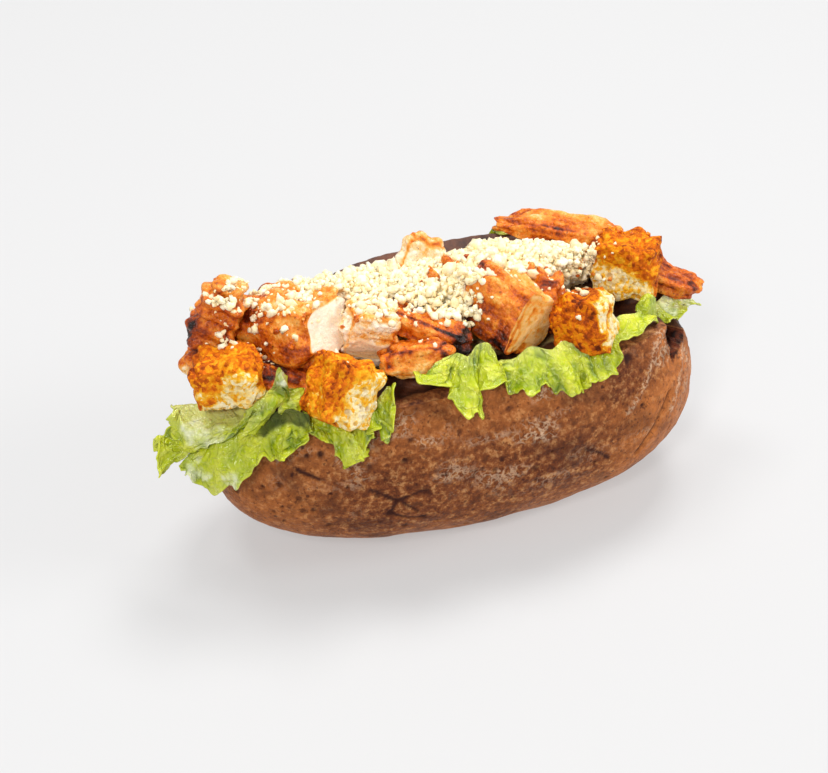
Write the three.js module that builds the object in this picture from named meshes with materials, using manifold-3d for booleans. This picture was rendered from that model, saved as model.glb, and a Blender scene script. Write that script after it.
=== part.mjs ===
// A stuffed baked potato: a very large baked potato, slit along its top and filled with lettuce,
// pieces of grilled chicken, croutons and a heap of crumbled white cheese.
// Millimetres, +Z up. X runs along the potato and -Y is the side over which the leaves hang.
// The origin is the middle of the flat spot that the potato rests on.
import * as THREE from "three";
import { mergeVertices } from "three/addons/utils/BufferGeometryUtils.js";
import Module from "manifold-3d";

const wasm = await Module();
wasm.setup();

// ---------------------------------------------------------------- driving dimensions
const HALF_LENGTH = 83; // potato: half of its length
const HALF_WIDTH = 40.5; // potato: half of its width
const BELLY = 34.8; // potato: from its widest line down to its bottom
const FLAT = 1.2; // how far the bottom is pressed flat
const END_RISE = 2.6; // how much higher the widest line runs at the ends
const ENDS = 2.45; // bluntness of the outline seen from above, 2 is an ellipse
const SECTION = 2.2; // bluntness of the cross-section
const SLIT = 53; // half of the opening, in degrees round the section, at mid-length
const NEAR_LIFT = 0.38; // how much the opened near wall stands up, part of the belly
const FAR_LIFT = 0.94; // the same for the far wall, which is pushed higher
const FILLING_DEPTH = 5; // from the line between the lips down to the flesh
const LEAF = 1; // thickness of a leaf with its finest ruffles
const GAP = 0.35; // clearance kept between neighbours

const ALONG = 28; // faces along the potato
const ROUND = 24; // faces round its skin
const ACROSS = 7; // faces across its opening

const SKIN = { color: "#8a5433", roughness: 0.7 };
const CRUST = { color: "#df8a26", roughness: 0.75 };
const CHICKEN = { color: "#d98a4a", roughness: 0.5 };
const CHEESE = { color: "#faeccb", roughness: 0.6 };
const GREEN = { color: "#b4c63a", roughness: 0.45 };
const PALE_GREEN = { color: "#ccd08c", roughness: 0.45 };

// ---------------------------------------------------------------- helpers
const rad = THREE.MathUtils.degToRad;
const lerp = THREE.MathUtils.lerp;
const smooth = THREE.MathUtils.smoothstep;
const vec = (p) => new THREE.Vector3(...p);

// A power that keeps the sign, which squares a circle up.
function blunt(value, bluntness) {
  return Math.sign(value) * Math.abs(value) ** (2 / bluntness);
}

// Random numbers from 0 to 1 that repeat for the same seed.
function dice(seed) {
  let state = seed;
  return () => {
    state = (state + 0x6d2b79f5) | 0;
    let t = Math.imul(state ^ (state >>> 15), 1 | state);
    t = (t + Math.imul(t ^ (t >>> 7), 61 | t)) ^ t;
    return ((t ^ (t >>> 14)) >>> 0) / 4294967296;
  };
}

// A closed geometry with every vertex moved to place(x, y, z), as a solid.
function shaped(geometry, place) {
  geometry.deleteAttribute("normal");
  geometry.deleteAttribute("uv");
  const merged = mergeVertices(geometry);
  const position = merged.attributes.position;
  const point = new THREE.Vector3();
  for (let i = 0; i < position.count; i += 1) {
    point.fromBufferAttribute(position, i);
    point.copy(place(point.x, point.y, point.z));
    position.setXYZ(i, point.x, point.y, point.z);
  }
  return solidOf(position.array, merged.index.array);
}

// A unit sphere as a tube with closed ends, every vertex moved to place(round, along), both from
// 0 to 1.
function closedTube(sides, lengths, place) {
  return shaped(new THREE.SphereGeometry(1, sides, lengths), (x, y, z) => {
    const turn = (Math.atan2(z, -x) / (2 * Math.PI) + 1) % 1;
    const along = Math.acos(THREE.MathUtils.clamp(y, -1, 1)) / Math.PI;
    return place(turn > 1 - 1e-6 ? 0 : turn, along);
  });
}

// A solid from vertices and triangles, turned the right way out.
function solidOf(vertices, triangles) {
  const kept = [];
  for (let i = 0; i < triangles.length; i += 3) {
    const [a, b, c] = triangles.slice(i, i + 3);
    if (a !== b && b !== c && c !== a) kept.push(a, b, c);
  }
  const make = (order) => new wasm.Manifold(new wasm.Mesh({
    numProp: 3,
    vertProperties: Float32Array.from(vertices),
    triVerts: Uint32Array.from(order),
  }));
  const body = make(kept);
  return body.volume() > 0 ? body : make(kept.reverse());
}

function largest(bodies) {
  return bodies.reduce((best, body) => (body.volume() > best.volume() ? body : best));
}

// ---------------------------------------------------------------- the potato
// The size of the cross-section at x: half width, wall heights and the angles of the two lips,
// measured from the top, negative on the near side.
function station(x, extra = 0) {
  const s = THREE.MathUtils.clamp(x / (HALF_LENGTH + extra), -1, 1);
  const round = Math.max(1 - Math.abs(s) ** ENDS, 0) ** (1 / ENDS);
  const open = Math.sqrt(Math.max(1 - ((x + 1) / (HALF_LENGTH - 2)) ** 4, 0));
  const half = 1.5 + (SLIT - 1.5) * open;
  const shift = -16 * smooth(x, 66, 80);
  return {
    width: (HALF_WIDTH + extra) * round * (1 + 0.07 * s),
    drop: (BELLY + extra) * round * (1 + 0.04 * s),
    middle: BELLY - FLAT + END_RISE * s * s,
    open,
    near: rad(shift - half),
    far: rad(shift + half),
  };
}

// A point of the skin at x and an angle round the section from the top.
function skin(x, angle, extra = 0) {
  const at = station(x, extra);
  const y = at.width * blunt(Math.sin(angle), SECTION);
  const c = blunt(Math.cos(angle), SECTION);
  const across = at.width > 0 ? 0.5 + (0.5 * y) / at.width : 0.5;
  const lift = lerp(NEAR_LIFT, FAR_LIFT, smooth(across, 0, 1));
  const height = c > 0 ? at.drop * (1 + at.open * lift) : at.drop;
  const lump = Math.sin(x / 11 + 2 * angle) + Math.sin(x / 6.5 - 3 * angle + 1);
  const swell = 1 + 0.006 * lump * smooth(at.middle + height * c, 2, 14);
  return new THREE.Vector3(x, y * swell, Math.max(at.middle + height * c * swell, -extra));
}

// The torn end: near the right end the slit runs on down the near wall as a wedge.
function tear() {
  const outer = [[67.5, -25, 52.5], [66, -18, 66], [82, -8, 53]].map(vec);
  const middle = outer[0].clone().lerp(outer[1], 0.5);
  const depth = new THREE.Vector3(-6, 11, -2);
  const inner = outer.map((corner) => corner.clone().lerp(middle, 0.5).add(depth));
  const vertices = [...outer, ...inner].flatMap((corner) => corner.toArray());
  return solidOf(vertices, [0, 2, 1, 3, 4, 5, 0, 1, 4, 0, 4, 3, 1, 2, 5, 1, 5, 4, 2, 0, 3, 2, 3, 5]);
}

function potato(extra) {
  const split = ROUND / (ROUND + ACROSS);
  const reach = HALF_LENGTH + extra;
  return closedTube(ROUND + ACROSS, ALONG, (u, v) => {
    const x = -reach * Math.cos(Math.PI * v) * (1 - 0.06 * Math.sin(Math.PI * v) ** 2);
    const at = station(x, extra);
    if (u <= split + 1e-6) {
      return skin(x, lerp(at.far, at.near + 2 * Math.PI, u / split), extra);
    }
    const q = (u - split) / (1 - split);
    const floor = skin(x, at.near, extra).lerp(skin(x, at.far, extra), q);
    const side = Math.abs(2 * q - 1) ** 1.6;
    floor.z -= (FILLING_DEPTH * at.open) * (1 - side) - extra;
    return floor;
  });
}

// ---------------------------------------------------------------- leaves
// A thin leaf from surface(u, v) -> point, with u along the margin and v from the tucked-in
// edge out to the margin.
function sheet(surface, cells, extra) {
  const step = 0.01;
  const at = (u, v) => {
    const cu = THREE.MathUtils.clamp(u, 0, 1);
    const cv = THREE.MathUtils.clamp(v, 0, 1);
    return surface(cu, cv);
  };
  const slope = (u, v, du, dv) => at(u + du, v + dv).sub(at(u - du, v - dv));
  const geometry = new THREE.BoxGeometry(1, 1, 1, cells[0], cells[1], 1);
  return shaped(geometry, (x, y, z) => {
    const [u, v] = [x + 0.5, y + 0.5];
    const along = slope(u, v, step, 0).normalize();
    const out = slope(u, v, 0, step).normalize();
    const normal = along.clone().cross(out).normalize();
    const point = at(u, v).addScaledVector(normal, 2 * z * (LEAF / 2 + extra));
    point.addScaledVector(along, 2 * x * extra);
    return point.addScaledVector(out, 2 * y * extra);
  });
}

// A leaf over a lip, near (side -1) or far (side 1): (x, d) lies d down the outside of the wall,
// and a negative d leans inwards from the lip, rising at the given angle.
function overLip(x, d, stand, lean, side) {
  const at = station(x);
  const angle = (side < 0 ? at.near : at.far) + (side * Math.max(d, 0)) / HALF_WIDTH;
  const lip = skin(x, angle);
  const below = skin(x, angle + 0.02 * side);
  const outward = new THREE.Vector3(0, lip.z - below.z, below.y - lip.y);
  outward.multiplyScalar(side / outward.length());
  const inward = Math.max(-d, 0);
  lip.addScaledVector(outward, stand);
  lip.y -= side * inward * Math.cos(rad(lean));
  lip.z += inward * Math.sin(rad(lean));
  return lip;
}

function hanging({ margin, inner, tuck, lean, ruffle, waves, side = -1 }) {
  const edge = new THREE.SplineCurve(margin.map(([x, d]) => new THREE.Vector2(x, d)));
  return (u, v) => {
    const low = edge.getPoint(u);
    const x = lerp(lerp(...inner, u), low.x, v);
    const wave = 0.5 + 0.5 * Math.sin(2 * Math.PI * waves * u + margin[0][0]);
    return overLip(x, lerp(-tuck, low.y, v), LEAF + 0.4 + ruffle * v * wave, lean, side);
  };
}

// A free leaf through rows of points, from its inner row to its margin.
function spread({ rows, ruffle, waves }) {
  const curves = rows.map((row) => new THREE.CatmullRomCurve3(row.map(vec)));
  return (u, v) => {
    const line = new THREE.CatmullRomCurve3(curves.map((curve) => curve.getPoint(u)));
    const point = line.getPoint(v);
    point.z += ruffle * v * Math.sin(2 * Math.PI * waves * u);
    return point;
  };
}

const HANGING_LEAVES = [
  {
    name: "lettuce_left", inner: [-58, -33], tuck: 9, lean: 45, ruffle: 3, waves: 3,
    margin: [[-60, 7], [-50, 13], [-48, 17], [-42, 14], [-39, 6], [-36, 11], [-31, -5]],
  },
  {
    name: "lettuce_middle", inner: [-13, 3], tuck: 16, lean: 66, ruffle: 3, waves: 2.5,
    margin: [[-25, -6], [-18, -4], [-15, 0], [-12, 7], [-9, 6], [-5, 2], [1, 1]],
  },
  {
    name: "lettuce_right", inner: [4, 32], tuck: 11, lean: 45, ruffle: 3, waves: 3,
    margin: [[2, -3], [5, 4], [12, 5], [19, 5], [25, 9], [31, 8], [34, 5]],
  },
  {
    name: "lettuce_far_right", inner: [30, 58], tuck: 11, lean: 40, ruffle: 2.5, waves: 2,
    margin: [[30, 7], [36, 7], [43, 5], [49, 3], [55, 0], [61, -4]],
  },
  {
    name: "lettuce_back_left", inner: [-58, -40], tuck: 6, lean: -10, ruffle: 2, waves: 3, side: 1,
    margin: [[-60, 4], [-54, 9], [-49, 6], [-44, 11], [-38, 4]],
  },
  {
    name: "lettuce_back_right", inner: [30, 57], tuck: 5, lean: -15, ruffle: 2, waves: 3, side: 1,
    margin: [[28, 3], [34, 8], [40, 13], [46, 8], [52, 11], [59, 3]],
  },
];

const FREE_LEAVES = [
  {
    name: "lettuce_cup", finish: PALE_GREEN, ruffle: 0, waves: 1,
    rows: [
      [[-94, 0, 63], [-88, -2, 64], [-76, -4, 64], [-64, -8, 66]],
      [[-96, -5, 63], [-94, -10, 58], [-86, -16, 59], [-79, -20, 62], [-71, -21, 70], [-66, -19, 72]],
      [[-95, -8, 58], [-93, -12, 51], [-88, -19, 56], [-83, -22, 60], [-79, -22, 65]],
    ],
  },
  {
    name: "lettuce_front", finish: GREEN, ruffle: 1.2, waves: 4,
    rows: [
      [[-90, -8, 55], [-85, -12, 60], [-79, -16, 64], [-73, -20, 67], [-66, -23, 70], [-59, -25, 72]],
      [[-92, -11, 50], [-87, -16, 54], [-80, -21, 58], [-73, -24, 61], [-65, -27, 63], [-59, -28, 67]],
      [[-94, -12, 48], [-89, -17, 47], [-82, -22, 51], [-73, -25, 57], [-66, -28, 57], [-59, -29, 62]],
      [
        [-95, -12, 45], [-91, -14, 39], [-86, -16, 37], [-81, -21, 41], [-75, -25, 48],
        [-72, -26, 53], [-66, -28, 52], [-61, -31, 57], [-59, -29, 62],
      ],
    ],
  },
  {
    name: "lettuce_tip", finish: GREEN, ruffle: 1, waves: 2,
    rows: [
      [[-86, -2, 53], [-88, -6, 50], [-90, -10, 45]],
      [[-94, -1, 52], [-97, -4, 48], [-96, -8, 45]],
      [[-92, 1, 52], [-98, 0, 54], [-104, -2, 49], [-103, -5, 44], [-100, -7, 40]],
    ],
  },
  {
    name: "lettuce_fold", finish: GREEN, ruffle: 0, waves: 1, cells: [8, 2],
    rows: [
      [[-68, -20, 76], [-69, -20, 73], [-74, -22, 68], [-81, -22, 60]],
      [[-66, -22, 82], [-66, -24, 74], [-71, -26, 69], [-78, -25, 62]],
      [[-62, -22, 76], [-64, -23, 70], [-69, -24, 65], [-74, -24, 60]],
    ],
  },
  {
    name: "lettuce_tongue", finish: GREEN, ruffle: 0, waves: 1, cells: [5, 3],
    rows: [
      [[-64, -18, 71], [-67, -22, 66], [-66, -25, 62]],
      [[-57, -20, 71], [-60, -24, 67], [-64, -27, 62]],
    ],
  },
  {
    name: "lettuce_end", finish: PALE_GREEN, ruffle: 1, waves: 2,
    rows: [
      [[64, -10, 65], [72, -5, 63], [80, 1, 60]],
      [[66, -12, 61], [75, -7, 59], [85, 0, 56]],
      [[68, -15, 56], [74, -12, 55], [80, -7, 54], [85, -3, 53], [90, 3, 51]],
    ],
  },
  {
    name: "lettuce_curl", finish: GREEN, ruffle: 0, waves: 1, cells: [6, 4],
    rows: [
      [[57, -15, 65], [61, -12, 68], [65, -12, 64]],
      [[57, -18, 69], [61, -17, 73], [65, -15, 69]],
      [[58, -20, 62], [61, -20, 64], [65, -17, 61]],
    ],
  },
];

// ---------------------------------------------------------------- croutons and chicken
// A block with rounded edges: at its middle point, half sizes, turned by roll, pitch and yaw in
// degrees. taper narrows its +x end, bend curves its long axis and rough sets its lumps.
function block(piece, extra) {
  const { at, half, turn, cells, bluntness = 3.5, taper = 0, bend = 0, rough = 0.05 } = piece;
  const euler = new THREE.Euler(...turn.map(rad), "ZYX");
  const middle = vec(at);
  const geometry = new THREE.BoxGeometry(2, 2, 2, ...cells);
  return shaped(geometry, (x, y, z) => {
    const norm = (Math.abs(x) ** bluntness + Math.abs(y) ** bluntness + Math.abs(z) ** bluntness)
      ** (1 / bluntness);
    const tightness = Math.max(Math.abs(x), Math.abs(y), Math.abs(z)) / norm;
    const lump = Math.sin(5 * x + 3 * y + at[0]) + Math.sin(4 * z - 6 * y + at[1])
      + Math.sin(7 * x * z + at[2]);
    const size = tightness * (1 + rough * lump);
    const narrow = 1 - taper * (x * 0.5 + 0.5);
    const point = new THREE.Vector3(
      x * size * (half[0] + extra),
      y * size * narrow * half[1] + y * size * extra,
      z * size * narrow * half[2] + z * size * extra,
    );
    point.z += bend * (x * x - 0.4);
    return point.applyEuler(euler).add(middle);
  });
}

const CROUTONS = [
  { name: "crouton_1", at: [-79, -11, 75], half: [10, 8.5, 7.5], turn: [-4, -8, -21] },
  { name: "crouton_2", at: [-47, -26, 71], half: [9, 9, 10], turn: [-16, 32, 3] },
  { name: "crouton_3", at: [36, -23, 73], half: [9, 8.5, 9.5], turn: [-20, -15, -38] },
  { name: "crouton_4", at: [61, -2, 76], half: [10, 10, 9.5], turn: [-11, 0, -38] },
];

const CHICKEN_PIECES = [
  { name: "chicken_knob", at: [-76, 6, 86], half: [7, 7.5, 11.5], turn: [-14, 20, -40], sprinkle: 8 },
  {
    name: "chicken_slab", at: [-54, 2, 78], half: [17, 12, 11.5], turn: [-8, -9, -51],
    sprinkle: 12, taper: -0.1,
  },
  { name: "chicken_low", at: [-69, -4, 69.5], half: [20.5, 9, 6], turn: [3, 5, -31] },
  { name: "chicken_white", at: [-31, -8, 78], half: [9, 8, 9.5], turn: [-5, 11, -19], sprinkle: 8 },
  { name: "chicken_strip", at: [-14, -13, 78], half: [14.5, 6.5, 4.5], turn: [-9, 15, -39] },
  { name: "chicken_wedge", at: [-21, -22, 74], half: [11, 6, 5], turn: [-16, -6, -17] },
  { name: "chicken_chunk", at: [12.5, -12.5, 78], half: [15, 10, 11], turn: [-32, 16, -61] },
  {
    name: "chicken_back", at: [46, 18.5, 81], half: [20, 8, 4.5], turn: [2, -6, 148],
    taper: 0.35, bend: -2,
  },
  { name: "chicken_end", at: [76, 1, 66], half: [13, 8, 5], turn: [-6, 12, -36], taper: 0.35 },
  { name: "chicken_upright", at: [-5, 14, 86], half: [7, 3, 7], turn: [-20, 28, -17] },
  { name: "chicken_crumb", at: [27, -13, 77], half: [6, 5.5, 8.5], turn: [-15, -11, -26], rough: 0.1 },
];

// ---------------------------------------------------------------- cheese
// A crumb of cheese of about the given radius, as a solid.
function crumb(middle, radius, random) {
  const stretch = new THREE.Vector3(0.8 + 0.6 * random(), 0.7 + 0.4 * random(), 0.7 + 0.4 * random());
  const euler = new THREE.Euler(6 * random(), 6 * random(), 6 * random());
  return shaped(new THREE.IcosahedronGeometry(radius, 0), (x, y, z) => (
    new THREE.Vector3(x, y, z).multiply(stretch).applyEuler(euler).add(middle)
  ));
}

// Crumbs scattered over the top of a block.
function sprinkled(piece, extra) {
  const random = dice(piece.sprinkle * 7 + 3);
  const euler = new THREE.Euler(...piece.turn.map(rad), "ZYX");
  const crumbs = Array.from({ length: piece.sprinkle }, () => {
    const spot = new THREE.Vector3(1.4 * random() - 0.7, 1.2 * random() - 0.6, 0.86);
    spot.multiply(vec(piece.half)).applyEuler(euler).add(vec(piece.at));
    return crumb(spot, 1.7 + 0.9 * random() + extra, random);
  });
  return wasm.Manifold.union([block(piece, extra), ...crumbs]);
}

const HEAP_SPINE = [[-64, 12, 82], [-29, 12, 75], [0, 11, 74], [26, 11, 74], [60, 11, 70]].map(vec);
const HEAP_SIZE = [[9, 9], [14, 11.5], [19, 11.5], [18, 11], [12, 7]]; // half width and half height
const HEAP_SLOPE = 0.4; // how steeply the heap falls away from its near edge
const HEAP_CRUMBS = 46;

function heapPoint(u, angle, out) {
  const spine = new THREE.CatmullRomCurve3(HEAP_SPINE);
  const size = new THREE.SplineCurve(HEAP_SIZE.map(([w, h]) => new THREE.Vector2(w, h)));
  const middle = spine.getPoint(u);
  const { x: width, y: height } = size.getPoint(u);
  const taper = Math.sqrt(Math.max(1 - (2 * u - 1) ** 6, 0));
  const lump = 0.6 * Math.sin(17 * u + 3 * angle) + 0.5 * Math.sin(31 * u - 2 * angle);
  const across = (width * taper + lump * taper + out) * Math.sin(angle);
  middle.y += across;
  middle.z += (height * taper + lump * taper + out) * Math.cos(angle) - HEAP_SLOPE * across;
  return middle;
}

function heap(extra) {
  const random = dice(11);
  const core = closedTube(12, 16, (u, v) => heapPoint(v, 2 * Math.PI * u, extra));
  const crumbs = Array.from({ length: HEAP_CRUMBS }, () => {
    const spot = heapPoint(0.03 + 0.94 * random(), rad(-80 + 160 * random()), 0.4);
    return crumb(spot, 1.9 + 1.3 * random() ** 2 + extra, random);
  });
  return wasm.Manifold.union([core, ...crumbs]);
}

// ---------------------------------------------------------------- the whole
const stuffedPotato = new THREE.Group();
const placed = [];

function meshOf(name, body, finish) {
  const { vertProperties, triVerts } = body.getMesh();
  const geometry = new THREE.BufferGeometry();
  geometry.setAttribute("position", new THREE.BufferAttribute(vertProperties, 3));
  geometry.setIndex(new THREE.BufferAttribute(triVerts, 1));
  geometry.computeVertexNormals();
  const mesh = new THREE.Mesh(geometry, new THREE.MeshStandardMaterial({ metalness: 0, ...finish }));
  mesh.name = name;
  return mesh;
}

function boxesMeet(one, other) {
  const [a, b] = [one.boundingBox(), other.boundingBox()];
  return [0, 1, 2].every((axis) => a.min[axis] <= b.max[axis] && b.min[axis] <= a.max[axis]);
}

// Adds a piece, cut clear of all that was placed before it. form(extra) gives its solid, grown
// by extra.
function add(name, finish, form) {
  const full = form(0);
  const near = placed.filter((earlier) => boxesMeet(full, earlier));
  const cut = near.reduce((body, earlier) => body.subtract(earlier), full);
  const whole = largest(cut.decompose());
  placed.push(form(GAP), whole);
  stuffedPotato.add(meshOf(name, whole, finish));
}

add("potato", SKIN, (extra) => (extra > 0 ? potato(extra) : potato(0).subtract(tear())));
for (const piece of CROUTONS) {
  add(piece.name, CRUST, (extra) => block({ cells: [4, 4, 4], bluntness: 6, ...piece }, extra));
}
for (const piece of CHICKEN_PIECES) {
  const full = { cells: [5, 3, 3], ...piece };
  add(piece.name, CHICKEN, (extra) => (piece.sprinkle ? sprinkled(full, extra) : block(full, extra)));
}
for (const leaf of HANGING_LEAVES) {
  add(leaf.name, GREEN, (extra) => sheet(hanging(leaf), [14, 4], extra));
}
for (const leaf of FREE_LEAVES) {
  add(leaf.name, leaf.finish, (extra) => sheet(spread(leaf), leaf.cells ?? [11, 4], extra));
}
add("cheese", CHEESE, heap);

export default stuffedPotato;
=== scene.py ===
# %% [markdown]
# # A stuffed baked potato
#
# A very large potato is baked until its skin turns leathery, slit along the top and pulled open.
# The slit is filled with lettuce, pieces of grilled chicken, croutons and a heap of crumbled white
# cheese. Each of these has its own cell, and all of them share a few helpers: random lumps,
# curves, and one function that turns a grid of points into a mesh. Lengths are in millimetres, as
# a cook would measure them, and are turned to metres only where a mesh is made.

import bpy
import numpy as np
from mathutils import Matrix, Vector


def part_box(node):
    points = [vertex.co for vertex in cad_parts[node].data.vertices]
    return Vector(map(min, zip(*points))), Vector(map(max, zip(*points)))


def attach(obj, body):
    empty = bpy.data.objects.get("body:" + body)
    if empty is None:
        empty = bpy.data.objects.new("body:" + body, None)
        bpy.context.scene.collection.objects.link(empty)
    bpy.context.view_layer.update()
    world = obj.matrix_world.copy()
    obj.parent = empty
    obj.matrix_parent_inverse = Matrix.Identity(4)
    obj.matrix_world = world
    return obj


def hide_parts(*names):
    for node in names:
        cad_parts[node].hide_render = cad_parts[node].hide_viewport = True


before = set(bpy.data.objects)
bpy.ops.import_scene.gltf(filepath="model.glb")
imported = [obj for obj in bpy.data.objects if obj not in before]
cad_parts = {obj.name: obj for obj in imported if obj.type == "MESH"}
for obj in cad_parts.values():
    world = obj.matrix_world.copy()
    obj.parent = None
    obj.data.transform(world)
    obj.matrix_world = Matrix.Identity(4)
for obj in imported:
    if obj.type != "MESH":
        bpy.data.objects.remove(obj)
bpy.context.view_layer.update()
MILLIMETRE = 0.001
print("solids:", len(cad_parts))

# %% [markdown]
# ## Numbers that repeat
#
# Food has no straight edges, so most shapes and colours here are a plain form plus noise. Noise
# could come from a texture, but then the mesh itself would stay smooth. Worked out with numpy it
# moves real points, and the same numbers can colour them: a pit is both deep and dark. All of it
# starts from one scrambled number for each cell of a grid, so every run gives the same potato.

# %% Helpers: blends, and random lumps and spots
PRIMES = (73856093, 19349663, 83492791)
SEED_PRIME = 668265263
STIRRERS = (1274126177, 2246822519)


def smooth(x, low, high):
    """0 below low, 1 above high, and an S-curve in between."""
    t = np.clip((x - low) / (high - low), 0, 1)
    return t * t * (3 - 2 * t)


def lerp(a, b, t):
    """The value a share t of the way from a to b."""
    return a + (b - a) * t


def scrambled(cell, seed):
    """A number from 0 to 1 for each cell: its place times three primes, with its bits stirred."""
    h = sum(cell[:, axis] * PRIMES[axis] for axis in range(3)) + seed * SEED_PRIME
    for multiplier in STIRRERS:
        h = ((h ^ (h >> 13)) * multiplier) & 0xFFFFFFFF
    return ((h ^ (h >> 16)) & 0xFFFF) / 0xFFFF


def lumps(points, size, seed=0):
    """Lumps about `size` across, from -1 to 1: random heights at the corners of a grid of cubes,
    blended across each cube by an S-curve."""
    scaled = points / size
    cell = np.floor(scaled).astype(np.int64)
    inside = smooth(scaled - cell, 0, 1)
    total = np.zeros(len(points))
    for corner in np.ndindex(2, 2, 2):
        weight = np.prod(np.where(corner, inside, 1 - inside), axis=1)
        total += weight * scrambled(cell + corner, seed)
    return 2 * total - 1


def crags(points, size, layers=4, seed=0):
    """Lumps on lumps: each layer is half as wide and half as high as the one before."""
    size = np.asarray(size, float)
    return sum(lumps(points, size / 2**k, seed + k) / 2**k for k in range(layers))


def ridges(points, size, seed=0):
    """Sharp ridges, from -1 to 1: lumps folded up where they cross their middle height."""
    return 1 - 2 * np.abs(lumps(points, size, seed))


def spots(points, size, seed=0):
    """Scattered spots about `size` apart. Gives the distance to the nearest one and to the second
    nearest, in sizes, and a random number that belongs to the nearest one."""
    scaled = points / size
    corner_cell = np.floor(scaled - 0.5).astype(np.int64)
    first = np.full(len(points), 9.0)
    second = np.full(len(points), 9.0)
    number = np.zeros(len(points))
    for corner in np.ndindex(2, 2, 2):
        cell = corner_cell + corner
        spot = cell + np.stack([0.15 + 0.7 * scrambled(cell, seed + k) for k in range(3)], axis=1)
        distance = np.linalg.norm(scaled - spot, axis=1)
        closer = distance < first
        second = np.where(closer, first, np.minimum(second, distance))
        number = np.where(closer, scrambled(cell, seed + 3), number)
        first = np.minimum(first, distance)
    return first, second, number


probe = np.random.default_rng(1).uniform(-50, 50, (4000, 3))
print("lumps span", np.round(np.ptp(lumps(probe, 7)), 2))
print("the nearest spot is", np.round(spots(probe, 7)[0].mean(), 2), "sizes away on average")

# %% [markdown]
# ## From a grid of points to a mesh
#
# Every piece is a surface with two directions, so its points form a grid and its faces are the
# grid's squares. Modelling tools would add the points one by one; here whole arrays go in at
# once. Each piece keeps its colours' causes, such as how toasted a point is, as attributes, and
# its material reads them.


# %% Helpers: grids, normals and finished pieces
def grid_quads(rows, columns):
    """The squares of a grid numbered row by row. They face along (next row) x (next column)."""
    start = np.arange(rows - 1)[:, None] * columns + np.arange(columns - 1)
    corners = (start, start + columns, start + columns + 1, start + 1)
    return np.stack(corners, axis=-1).reshape(-1, 4)


def grid_normals(grid):
    """Unit normals of a grid of points: the cross product of its two directions."""
    normal = np.cross(np.gradient(grid, axis=0), np.gradient(grid, axis=1))
    return normal / np.maximum(np.linalg.norm(normal, axis=-1, keepdims=True), 1e-9)


def quad_normals(points, quads):
    """Unit normals at the points: the sum of the cross products of the diagonals round each."""
    a, b, c, d = (points[quads[:, k]] for k in range(4))
    faces = np.cross(c - a, d - b)
    total = np.zeros_like(points)
    for axis in range(3):
        total[:, axis] = np.bincount(quads.ravel(), np.repeat(faces[:, axis], 4), len(points))
    return total / np.maximum(np.linalg.norm(total, axis=1, keepdims=True), 1e-9)


def linked(name, data):
    """A new object in the scene for a mesh, a light or a camera."""
    thing = bpy.data.objects.new(name, data)
    bpy.context.scene.collection.objects.link(thing)
    return thing


def finish_piece(name, points, quads, material, slot, nodes, round_over=True, **marks):
    """Makes the mesh object of a piece from points in millimetres, with one attribute for each
    of the marks, and lets it stand for its solids. Where `round_over` is off its facets show."""
    mesh = bpy.data.meshes.new(name)
    mesh.vertices.add(len(points))
    mesh.vertices.foreach_set("co", (points * MILLIMETRE).astype(np.float32).ravel())
    mesh.loops.add(quads.size)
    mesh.loops.foreach_set("vertex_index", quads.astype(np.int32).ravel())
    mesh.polygons.add(len(quads))
    mesh.polygons.foreach_set("loop_start", np.arange(0, quads.size, 4, dtype=np.int32))
    for mark, values in marks.items():
        layer = mesh.attributes.new(mark, "FLOAT", "POINT")
        layer.data.foreach_set("value", np.asarray(values, np.float32).ravel())
    mesh.update(calc_edges=True)
    if round_over:
        mesh.shade_smooth()
    mesh.materials.append(material)
    piece = linked(name, mesh)
    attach(piece, "root")
    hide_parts(*nodes)
    low, high = np.round([points.min(0), points.max(0)], 1)
    print(f"{name}: {2 * len(quads)} triangles, {low} to {high} mm")
    return piece


print("a grid of 3 rows and 4 columns has", len(grid_quads(3, 4)), "squares")

# %% [markdown]
# ## Materials
#
# All of these are food, so they share one make-up: a colour that runs through a few stops as
# some mark rises (pale to toasted, fresh to charred), speckles that are too fine for the mesh,
# some light that soaks in and comes out again, and a fine bump. One small function adds a node,
# and each finish below is a short recipe of its own.


# %% Helpers: colours and nodes
def linear(colour):
    """An sRGB hex colour as linear red, green, blue and alpha: the sRGB curve, undone."""
    value = np.array([int(colour[i : i + 2], 16) for i in (1, 3, 5)]) / 255
    value = np.where(value <= 0.04045, value / 12.92, ((value + 0.055) / 1.055) ** 2.4)
    return (*value, 1.0)


def blank(name):
    """A new material without any nodes yet."""
    material = bpy.data.materials.new(name)
    material.use_nodes = True
    material.node_tree.nodes.clear()
    return material


def add_node(material, kind, links=(), output=0, stops=None, **settings):
    """Adds one node and gives one of its outputs. Each link goes to an input, in order or by its
    key, and is a socket, a plain value, a hex colour or the name of one of the piece's marks.
    The settings are the node's own, and the stops are the places and colours of a ramp."""
    tree = material.node_tree
    node = tree.nodes.new("ShaderNode" + kind)
    for key, value in settings.items():
        setattr(node, key, value)
    if stops:
        band = node.color_ramp.elements
        while len(band) < len(stops):
            band.new(0.5)
        for element, (place, colour) in zip(band, sorted(stops.items())):
            element.position = place
            element.color = linear(colour)
    for key, value in links.items() if isinstance(links, dict) else enumerate(links):
        if isinstance(value, str) and value.startswith("#"):
            value = linear(value)
        elif isinstance(value, str):
            value = add_node(material, "Attribute", output="Fac", attribute_name=value)
        if isinstance(value, bpy.types.NodeSocket):
            tree.links.new(value, node.inputs[key])
        else:
            node.inputs[key].default_value = value
    return None if output is None else node.outputs[output]


def speckle(material, size, detail=3.0, roughness=0.6, seed=0.0):
    """Noise whose largest lumps are `size` millimetres across, about 0.5 on average."""
    place = add_node(material, "TexCoord", output="Object")
    links = (place, seed, 1 / (size * MILLIMETRE), detail, roughness)
    return add_node(material, "TexNoise", links, noise_dimensions="4D")


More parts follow.
